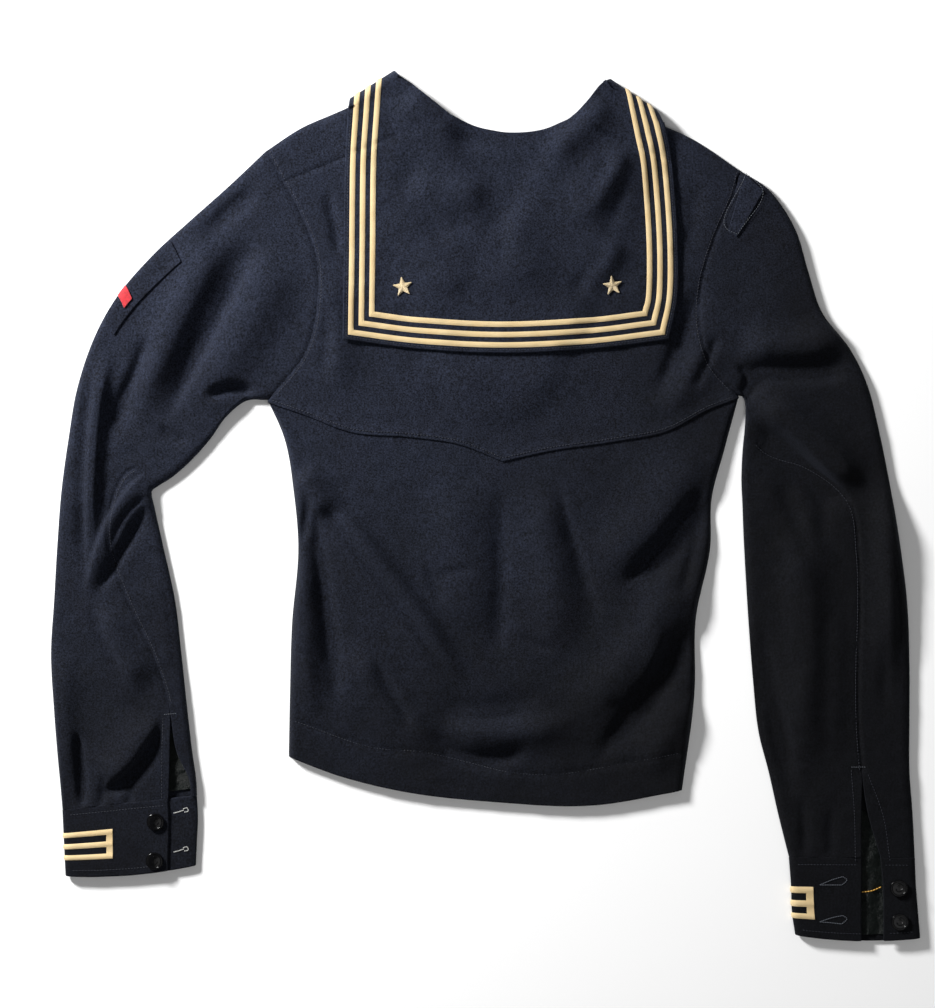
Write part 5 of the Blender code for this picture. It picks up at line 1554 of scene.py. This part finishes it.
class JumperColours(bpy.types.PropertyGroup):
    """Colours of the cloths, threads, buttons and floor."""

    # The wool's one colour, lit by painted light near the shoulders and darkened by painted shade near the
    # hem and low on the right
    navy_painted_lit: tone("Navy, upper", "Wool near the shoulders", (0.0105, 0.0130, 0.0225))
    navy_painted_shade: tone("Navy, lower", "Wool near the hem", (0.0022, 0.0024, 0.0033))
    nap: tone("Nap", "Fibres on the face of the wool", (0.030, 0.034, 0.050))
    cream: tone("Cream", "Braid", (0.76, 0.60, 0.34))
    # Yellowed braid, and also the painted shade between the stars' threads
    cream_aged_and_shade: tone("Cream, aged", "Braid where it has yellowed", (0.68, 0.49, 0.24))
    # Painted shade between the threads of the braid
    cream_shadow: tone("Cream, deep", "Between the threads of the braid", (0.36, 0.24, 0.10))
    # Also the painted highlight on the crowns of the stars' threads
    cream_light: tone("Cream, light", "Fibres on the braid", (0.88, 0.76, 0.52))
    satin: tone("Satin", "Lining of the cuff vents", (0.0010, 0.0017, 0.0015))
    satin_light: tone("Satin, light", "Lining where it catches the light", (0.0045, 0.0068, 0.0060))
    plastic: tone("Plastic", "Buttons", (0.0016, 0.0016, 0.0020))
    red: tone("Red", "Felt chevron", (0.42, 0.012, 0.02))
    red_light: tone("Red, light", "Fibres on the felt", (0.62, 0.08, 0.07))
    navy_thread: tone("Navy thread", "Topstitching", (0.011, 0.013, 0.022))
    pale_thread: tone("Pale thread", "Buttonholes of the left cuff", (0.42, 0.42, 0.40))
    grey_thread: tone("Grey thread", "Buttonholes of the right cuff", (0.055, 0.062, 0.075))
    gold_thread: tone("Gold thread", "Mark inside the right cuff", (0.55, 0.30, 0.05))
    floor: tone("Floor", "The surface under the jumper", (0.93, 0.93, 0.93))


# What each operator needs, kept while the script runs
MADE = {}


def use(kind, make, *arguments):
    """A material, or another thing that several operators share, made the first time it is asked for."""
    if kind not in MADE:
        MADE[kind] = make(*arguments)
    return MADE[kind]


def wool():
    """The jumper's navy wool."""
    return use("wool", wool_material, "navy_wool_cloth")


def navy_thread():
    """Topstitching thread."""
    tint = bpy.context.scene.jumper_colours.navy_thread
    return use("navy thread", thread_material, "navy_sewing_thread", tint)


def worn(piece, slot, *nodes):
    """Fixes a finished piece to the jumper's body and hides the CAD nodes that it stands for."""
    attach(piece, "root")
    if nodes:
        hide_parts(*nodes)
    return piece


# How far each sleeve's head lies outside its armhole line
ARMHOLE_AWAY = 0.2


class BuildBody(bpy.types.Operator):
    """Lays the front, back and yoke."""

    bl_idname = "jumper.body"
    bl_label = "Front, back and yoke"

    def execute(self, context):
        tubes = {
            "left": Tube(SLEEVE_LEFT, ARMHOLE_LEFT, -ARMHOLE_AWAY),
            "right": Tube(SLEEVE_RIGHT, ARMHOLE_RIGHT, ARMHOLE_AWAY),
        }
        MADE["tubes"] = tubes
        lay_faces(tubes)
        MADE["front"] = worn(make_front(wool()), "navy_wool", "front_panel")
        MADE["back"] = worn(make_back(wool()), "navy_wool", "back_panel")
        MADE["yoke"] = worn(make_yoke(wool()), "navy_wool", "back_yoke")
        return {"FINISHED"}


class BuildCollar(bpy.types.Operator):
    """Lays the square collar with its tapes and stars."""

    bl_idname = "jumper.collar"
    bl_label = "Square collar"

    def execute(self, context):
        grid = collar_grid()
        MADE["collar"] = worn(make_collar(grid, wool()), "navy_wool", "collar")
        braid = use("braid", braid_material, "cream_braid", True)
        tapes = make_tapes(grid, braid)
        for tape, name in zip(tapes, TAPE_NAMES):
            worn(tape, "cream_tape", f"collar_tape_{name}")
        tree = tree_of(grid)
        thread = use("star", star_material)
        stars = []
        for name, place in STARS:
            star = make_star(name.replace("collar_star", "star"), place, tree, thread)
            stars.append(worn(star, "cream_tape", name))
        MADE["on collar"], MADE["collar grid"] = tapes + stars, grid
        return {"FINISHED"}


class BuildSleeves(bpy.types.Operator):
    """Lays both sleeves."""

    bl_idname = "jumper.sleeves"
    bl_label = "Sleeves"

    def execute(self, context):
        for side, turned in (("left", True), ("right", False)):
            arm = make_sleeve(side, MADE["tubes"][side], turned, wool())
            MADE[f"arm {side}"] = worn(arm, "navy_wool", f"sleeve_{side}")
        return {"FINISHED"}


class BuildCuffs(bpy.types.Operator):
    """Lays both cuffs with their tapes and the satin in their vents."""

    bl_idname = "jumper.cuffs"
    bl_label = "Cuffs"

    def execute(self, context):
        sizes = {"lie": CUFF_LIE, "bottom_bow": CUFF_BOTTOM_BOW, "under": CUFF_UNDER}
        tubes = {
            "left": Tube(CUFF_LEFT, tuck=CUFF_TUCK, **sizes),
            "right": Tube(CUFF_RIGHT, tuck=CUFF_LIE, **sizes),
        }
        bands = {"left": tubes["left"], "right": Tube(mirrored(CUFF_RIGHT), **sizes)}
        MADE["cuff tubes"] = tubes
        braid = use("cuff braid", braid_material, "cream_cuff_braid", False)
        satin = use("satin", satin_material)
        for side, turned, rows, table in (("left", True, BRAID_LEFT, LINING_LEFT),
                                          ("right", False, BRAID_RIGHT, LINING_RIGHT)):
            cuff = make_cuff(side, tubes[side], turned, wool())
            MADE[f"cuff {side}"] = worn(cuff, "navy_wool", f"cuff_{side}")
            tape = make_cuff_tape(side, bands[side], rows, braid)
            MADE[f"on cuff {side}"] = [worn(tape, "cream_tape", f"cuff_tape_{side}")]
            lining = make_lining(side, table, satin)
            MADE[f"satin {side}"] = worn(lining, "green_satin", f"cuff_lining_{side}")
        return {"FINISHED"}


def shaped(name, material):
    """Finishes the active object as a smooth piece of plastic."""
    made = bpy.context.object
    made.name = made.data.name = name
    bpy.ops.object.transform_apply(location=True, rotation=True, scale=True)
    bpy.ops.object.shade_smooth_by_angle(angle=math.radians(35))
    made.data.materials.clear()
    made.data.materials.append(material)
    return made


def select_ring(made, low, high):
    """Selects, in edit mode, the faces whose middles lie between two heights."""
    mesh = bmesh.from_edit_mesh(made.data)
    for face in mesh.faces:
        face.select_set(low < face.calc_center_median().z < high)
    mesh.select_flush_mode()
    bmesh.update_edit_mesh(made.data)


def button_disc(place, base, radius, height):
    """The disc of a button: a turned rim round a sunk, softly domed middle."""
    bpy.ops.object.select_all(action="DESELECT")
    bpy.ops.mesh.primitive_cylinder_add(vertices=48, radius=radius, depth=height * 0.7,
                                        location=(place[0], place[1], base + height * 0.35))
    made = bpy.context.object
    bpy.ops.object.transform_apply(location=True, rotation=True, scale=True)
    bpy.ops.object.mode_set(mode="EDIT")
    bpy.ops.mesh.select_mode(type="FACE")
    top = base + height * 0.69
    select_ring(made, float(top), float(top + height))
    bpy.ops.mesh.inset(thickness=radius * 0.10, depth=height * 0.14)
    bpy.ops.mesh.inset(thickness=radius * 0.09, depth=height * 0.02)
    bpy.ops.mesh.inset(thickness=radius * 0.07, depth=-height * 0.18)
    for ring in range(5):
        bpy.ops.mesh.inset(thickness=radius * 0.12, depth=height * (0.05 - 0.009 * ring))
    bpy.ops.mesh.select_all(action="SELECT")
    bpy.ops.object.mode_set(mode="OBJECT")
    bevel = made.modifiers.new("Edges", "BEVEL")
    bevel.width = height * 0.10
    bevel.segments = 3
    bevel.limit_method = "ANGLE"
    bevel.angle_limit = math.radians(30)
    bpy.ops.object.modifier_apply(modifier=bevel.name)
    return made


def anchor(place, level, reach):
    """A small anchor in relief: ring, stock, shank, curved arms and flukes."""
    parts = []
    x, y = place

    def kept():
        bpy.ops.object.transform_apply(location=True, rotation=True, scale=True)
        parts.append(bpy.context.object)

    thick = reach * 0.10
    bpy.ops.mesh.primitive_torus_add(location=(x, y + reach * 0.72, level), major_radius=reach * 0.17,
                                     minor_radius=thick * 0.6, major_segments=20, minor_segments=8)
    kept()
    for width, tall, up in ((thick * 0.75, reach * 0.62, 0.02), (reach * 0.36, thick * 0.7, 0.36)):
        bpy.ops.mesh.primitive_cube_add(size=2, location=(x, y + reach * up, level))
        bpy.context.object.scale = (width, tall, thick * 0.7)
        kept()
        bpy.ops.object.mode_set(mode="EDIT")
        bpy.ops.mesh.select_all(action="SELECT")
        bpy.ops.mesh.bevel(offset=thick * 0.3, segments=2, affect="EDGES")
        bpy.ops.object.mode_set(mode="OBJECT")
    bpy.ops.mesh.primitive_torus_add(location=(x, y - reach * 0.05, level), major_radius=reach * 0.58,
                                     minor_radius=thick * 0.8, major_segments=36, minor_segments=8)
    kept()
    bpy.ops.object.mode_set(mode="EDIT")
    bpy.ops.mesh.select_all(action="SELECT")
    bpy.ops.mesh.bisect(plane_co=(x, y - reach * 0.22, level), plane_no=(0, 1, 0),
                        use_fill=True, clear_outer=True)
    bpy.ops.object.mode_set(mode="OBJECT")
    for side in (-1, 1):
        fluke = (x + side * reach * 0.55, y - reach * 0.12, level)
        bpy.ops.mesh.primitive_cone_add(vertices=12, radius1=reach * 0.2, radius2=thick * 0.1,
                                        depth=reach * 0.4, location=fluke)
        bpy.context.object.rotation_euler = (math.radians(-90), 0, side * math.radians(-14))
        bpy.context.object.scale = (1, 0.45, 1)
        kept()
    bpy.ops.object.select_all(action="DESELECT")
    for part in parts:
        part.select_set(True)
    bpy.context.view_layer.objects.active = parts[0]
    bpy.ops.object.join()
    return bpy.context.object


# How far a button lies off its cuff, and the anchor's level and reach as shares of the button's sizes
BUTTON_LIFT = 0.2
ANCHOR_LEVEL = 0.86
ANCHOR_REACH = 0.62


class BuildButtons(bpy.types.Operator):
    """Makes the four cuff buttons, each with a rolled rim and an anchor."""

    bl_idname = "jumper.buttons"
    bl_label = "Cuff buttons"

    def execute(self, context):
        sizes = context.scene.jumper_sizes
        plastic = use("plastic", plastic_material)
        for name, place in BUTTONS:
            spot = np.array(place, float)
            base = float(CUFF_LIE + BUTTON_LIFT + cuff_ripple(spot)) * MM
            spot = spot * MM
            disc = button_disc(spot, base, sizes.button, sizes.button_height)
            relief = anchor(spot, base + sizes.button_height * ANCHOR_LEVEL, sizes.button * ANCHOR_REACH)
            bpy.ops.object.select_all(action="DESELECT")
            relief.select_set(True)
            disc.select_set(True)
            context.view_layer.objects.active = disc
            bpy.ops.object.join()
            side, level = name.split("_")[2:]
            button = worn(shaped(f"button_{side}_{level}", plastic), "black_plastic", name)
            MADE[f"on cuff {side}"].append(button)
        return {"FINISHED"}


class BuildPatches(bpy.types.Operator):
    """Sews on the shoulder tab and the patch of the upper arm."""

    bl_idname = "jumper.patches"
    bl_label = "Shoulder tab and patch"

    def execute(self, context):
        left = MADE["tubes"]["left"]
        tab_wool = use("tab wool", wool_material, "navy_tab_wool", 1.7)
        MADE["tab"] = worn(make_tab(tab_wool), "navy_wool", "shoulder_tab")
        patch_wool = use("patch wool", wool_material, "navy_patch_wool", 0.9)
        patch = arm_patch("patch", left, BADGE, PATCH_EASE, PATCH_WOOL, patch_wool)
        MADE["patch"] = worn(patch, "navy_wool", "sleeve_badge")
        felt = use("felt", felt_material)
        chevron = arm_patch("chevron", left, CHEVRON, 2 * PATCH_EASE + PATCH_WOOL, CHEVRON_FELT, felt)
        MADE["chevron"] = worn(chevron, "red_felt", "badge_chevron")
        return {"FINISHED"}


# Lines of sewing that are read off the jumper, each with its thread, its stitch and the face it lies on
Sewn = namedtuple("Sewn", "on thread stitch gap radius face points")
SEWN = (
    Sewn("arm right", "grey", 2.0, 0.5, 0.26, "tab", ((247, 315), (262, 301), (239, 257))),
    Sewn("arm right", "grey", 2.0, 0.5, 0.26, "tab", ((239, 257), (230, 261), (247, 315))),
    Sewn("arm right", "grey", 1.7, 0.1, 0.30, "cloth", ((347, -249), (361, -249))),
    Sewn("arm left", "grey", 1.7, 0.1, 0.30, "cloth", ((-306, -199), (-294, -198))),
    Sewn("arm right", "navy", 2.2, 0.7, 0.24, "cloth", ((347, -252), (350, -294), (351, -339))),
    Sewn("arm right", "navy", 2.2, 0.7, 0.24, "cloth", ((363, -256), (377, -294), (384, -339))),
    Sewn("arm left", "navy", 2.2, 0.7, 0.24, "cloth", ((-307, -202), (-308, -242), (-308, -280))),
    Sewn("cuff right", "grey", 1.5, 0.1, 0.42, "cuff", ((317, -361), (329, -356), (339, -353))),
    Sewn("cuff right", "grey", 1.5, 0.1, 0.42, "cuff", ((339, -353), (343, -356), (338, -361))),
    Sewn("cuff right", "grey", 1.5, 0.1, 0.42, "cuff", ((338, -361), (329, -361), (317, -361))),
    Sewn("cuff right", "grey", 1.5, 0.1, 0.42, "cuff", ((317, -396), (329, -392), (339, -390))),
    Sewn("cuff right", "grey", 1.5, 0.1, 0.42, "cuff", ((339, -390), (343, -393), (338, -398))),
    Sewn("cuff right", "grey", 1.5, 0.1, 0.42, "cuff", ((338, -398), (329, -397), (317, -396))),
    Sewn("cuff left", "pale", 1.2, 0.0, 0.50, "tucked", ((-297, -293), (-293, -292), (-287, -290))),
    Sewn("cuff left", "pale", 1.2, 0.0, 0.45, "tucked",
         ((-288, -289), (-284, -288), (-283, -291), (-287, -292))),
    Sewn("cuff left", "pale", 1.2, 0.0, 0.50, "tucked", ((-297, -330), (-293, -329), (-287, -327))),
    Sewn("cuff left", "pale", 1.2, 0.0, 0.45, "tucked",
         ((-288, -326), (-284, -325), (-283, -328), (-287, -329))),
    Sewn("satin right", "gold", 2.6, 0.2, 0.50, "satin", ((357, -368), (366, -367), (376, -363))),
)


# Height of the gold mark over the satin of the right cuff
SATIN_TOP = 5.4


def cuff_face(plan):
    """Height of a cuff's face."""
    return CUFF_LIE + cuff_ripple(plan)


def tucked_face(plan):
    """Height of the part of the left cuff that lies under the other."""
    return CUFF_TUCK + cuff_ripple(plan)


def satin_face(plan):
    """A height just over the satin of the right cuff."""
    return np.full(np.shape(plan)[:-1], SATIN_TOP)


def tab_face(plan):
    """Height of the face of the shoulder tab."""
    return upper_face(plan) + PATCH_EASE + PATCH_WOOL


FACES = {
    "cloth": upper_face,
    "cuff": cuff_face,
    "tucked": tucked_face,
    "satin": satin_face,
    "tab": tab_face,
}


def read_lines(on):
    """The stitches of the table that are sewn on a piece, as one object for each thread."""
    tones = bpy.context.scene.jumper_colours
    tints = {"navy": tones.navy_thread, "grey": tones.grey_thread, "pale": tones.pale_thread,
             "gold": tones.gold_thread}
    made = []
    for tint in tints:
        vertices, faces = [], []
        for row in SEWN:
            if (row.on, row.thread) == (on, tint):
                line = on_face(curve(row.points, np.linspace(0, 1, 25)), FACES[row.face])
                stitches(vertices, faces, line, row.stitch, row.gap, row.radius)
        if vertices:
            thread = use(tint, thread_material, f"{tint}_thread", getattr(tones, f"{tint}_thread"))
            name = "_".join(["stitches", *on.split(), tint])
            made.append(worn(thread_object(name, vertices, faces, thread), "navy_wool"))
    return made


def beside(line, towards, distance):
    """A line moved sideways towards a place."""
    return line + inward_steps(line, towards) * distance


def band_lines(tube, rows, first, last):
    """Lines across a cuff at some of its rows."""
    return [np.array([tube.plan(row, [share])[0] for share in np.linspace(first, last, 40)]) for row in rows]


# How far the sewing lies from the armholes, towards the middle of the yoke, and from the sleeves' hind seams
ARMHOLE_SEWN = 3.0
HIND_SEWN = 2.6
MID_YOKE = (20, 200)
# Shares of each cuff's width between which it is topstitched, and the sections that the rows lie at
CUFF_SEWN = {"left": ((0.06, 0.76),), "right": ((0.06, 0.25), (0.47, 0.94))}
CUFF_SEWN_ROWS = (0.25, 2.75)
# Inset of the yoke's topstitching, and the collar's rows that lie under the front at each end
LAP_FROM_EDGE = 0.8
COLLAR_TOP_ROWS = LAPEL_ROWS + len(TURN_UP + TURN_UNDER) + 2


class BuildSewing(bpy.types.Operator):
    """Sews the topstitching, buttonholes and bar tacks."""

    bl_idname = "jumper.sewing"
    bl_label = "Sewing"

    def execute(self, context):
        thread = navy_thread()
        across = np.linspace(0.01, 0.99, 121)
        lapped = yoke_seam(across) + (0, LAP_FROM_EDGE)
        yoke = [on_face(lapped, lambda plan: upper_face(plan) + LAP_RISE)]
        yoke += [on_face(beside(curve(line, across), MID_YOKE, ARMHOLE_SEWN), upper_face)
                 for line in (ARMHOLE_LEFT, ARMHOLE_RIGHT)]
        MADE["yoke sewing"] = worn(stitch_row("yoke_topstitching", yoke, thread), "navy_wool")
        hem = [on_face(curve(HEM_LINE, across), upper_face)]
        MADE["back sewing"] = worn(stitch_row("hem_topstitching", hem, thread), "navy_wool")
        collar = MADE["collar grid"][:, ::-1]
        edge = collar[COLLAR_TOP_ROWS:-COLLAR_TOP_ROWS, 2]
        sewing = stitch_row("collar_topstitching", [(edge, (0, 0, 1))], thread)
        MADE["on collar"].append(worn(sewing, "navy_wool"))
        for side, tube in MADE["tubes"].items():
            seam = beside(hind_seam(tube, *HIND_ROWS[side]), (0, 0), HIND_SEWN)
            rows = [on_face(seam, upper_face)]
            sewing = worn(stitch_row(f"arm_topstitching_{side}", rows, thread), "navy_wool")
            MADE[f"on arm {side}"] = [sewing, *read_lines(f"arm {side}")]
        for side, tube in MADE["cuff tubes"].items():
            rows = []
            for first, last in CUFF_SEWN[side]:
                rows += [on_face(line, cuff_face) for line in band_lines(tube, CUFF_SEWN_ROWS, first, last)]
            sewing = worn(stitch_row(f"cuff_topstitching_{side}", rows, thread), "navy_wool")
            MADE[f"on cuff {side}"] += [sewing, *read_lines(f"cuff {side}")]
        MADE["on satin right"] = read_lines("satin right")
        return {"FINISHED"}


# The camera's place over the jumper, and each light's place, width and power
CAMERA_PLACE = (-0.0176, 0.001)
LIGHTS = (
    ("key", (-1.65, 1.30, 1.05), 0.5, 132),
    ("fill", (0.5, -0.9, 2.6), 2.0, 15),
)
WORLD_LIGHT = 0.14


class BuildStage(bpy.types.Operator):
    """Lays the floor and sets the lights and the camera."""

    bl_idname = "jumper.stage"
    bl_label = "Stage"

    def execute(self, context):
        sizes = context.scene.jumper_sizes
        bpy.ops.object.select_all(action="DESELECT")
        bpy.ops.mesh.primitive_plane_add(size=sizes.floor, location=(0, 0, -0.0002))
        floor = context.object
        floor.name = "floor"
        floor.data.materials.append(floor_material())
        for name, place, width, power in LIGHTS:
            data = bpy.data.lights.new(name, "AREA")
            data.shape = "DISK"
            data.size = width
            data.energy = power
            lamp = bpy.data.objects.new(name, data)
            lamp.location = place
            lamp.rotation_euler = (-mathutils.Vector(place)).to_track_quat("-Z", "Y").to_euler()
            context.scene.collection.objects.link(lamp)
        world = bpy.data.worlds.new("pale room")
        world.use_nodes = True
        world.node_tree.nodes["Background"].inputs["Color"].default_value = (1, 1, 1, 1)
        world.node_tree.nodes["Background"].inputs["Strength"].default_value = WORLD_LIGHT
        context.scene.world = world
        data = bpy.data.cameras.new("overhead")
        data.lens = data.sensor_width * (sizes.camera_height - LIE * MM) / sizes.view_height
        data.clip_end = 20
        camera = bpy.data.objects.new("overhead", data)
        camera.location = (*CAMERA_PLACE, sizes.camera_height)
        context.scene.collection.objects.link(camera)
        context.scene.camera = camera
        context.scene.view_settings.view_transform = "Standard"
        return {"FINISHED"}


# The steps in the order in which they run
STEPS = (
    BuildBody,
    BuildCollar,
    BuildSleeves,
    BuildCuffs,
    BuildButtons,
    BuildPatches,
    BuildSewing,
    BuildStage,
)


class JumperPanel(bpy.types.Panel):
    """Sizes, colours and the steps that build the jumper."""

    bl_idname = "VIEW3D_PT_jumper"
    bl_label = "Sailor jumper"
    bl_space_type = "VIEW_3D"
    bl_region_type = "UI"
    bl_category = "Jumper"

    def draw(self, context):
        for group in (context.scene.jumper_sizes, context.scene.jumper_colours):
            for name in group.bl_rna.properties.keys():
                if name not in ("rna_type", "name"):
                    self.layout.prop(group, name)
        for step in STEPS:
            self.layout.operator(step.bl_idname)


GROUPS = (JumperSizes, JumperColours)


def register():
    """Adds the settings, the steps and the panel to Blender."""
    for each in (*GROUPS, *STEPS, JumperPanel):
        bpy.utils.register_class(each)
    bpy.types.Scene.jumper_sizes = bpy.props.PointerProperty(type=JumperSizes)
    bpy.types.Scene.jumper_colours = bpy.props.PointerProperty(type=JumperColours)


def unregister():
    """Takes them out again."""
    del bpy.types.Scene.jumper_sizes
    del bpy.types.Scene.jumper_colours
    for each in reversed((*GROUPS, *STEPS, JumperPanel)):
        bpy.utils.unregister_class(each)


def main():
    """Builds the jumper over its CAD frame."""
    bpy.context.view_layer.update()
    register()
    for step in STEPS:
        group, name = step.bl_idname.split(".")
        getattr(getattr(bpy.ops, group), name)()


if __name__ == "__main__":
    main()
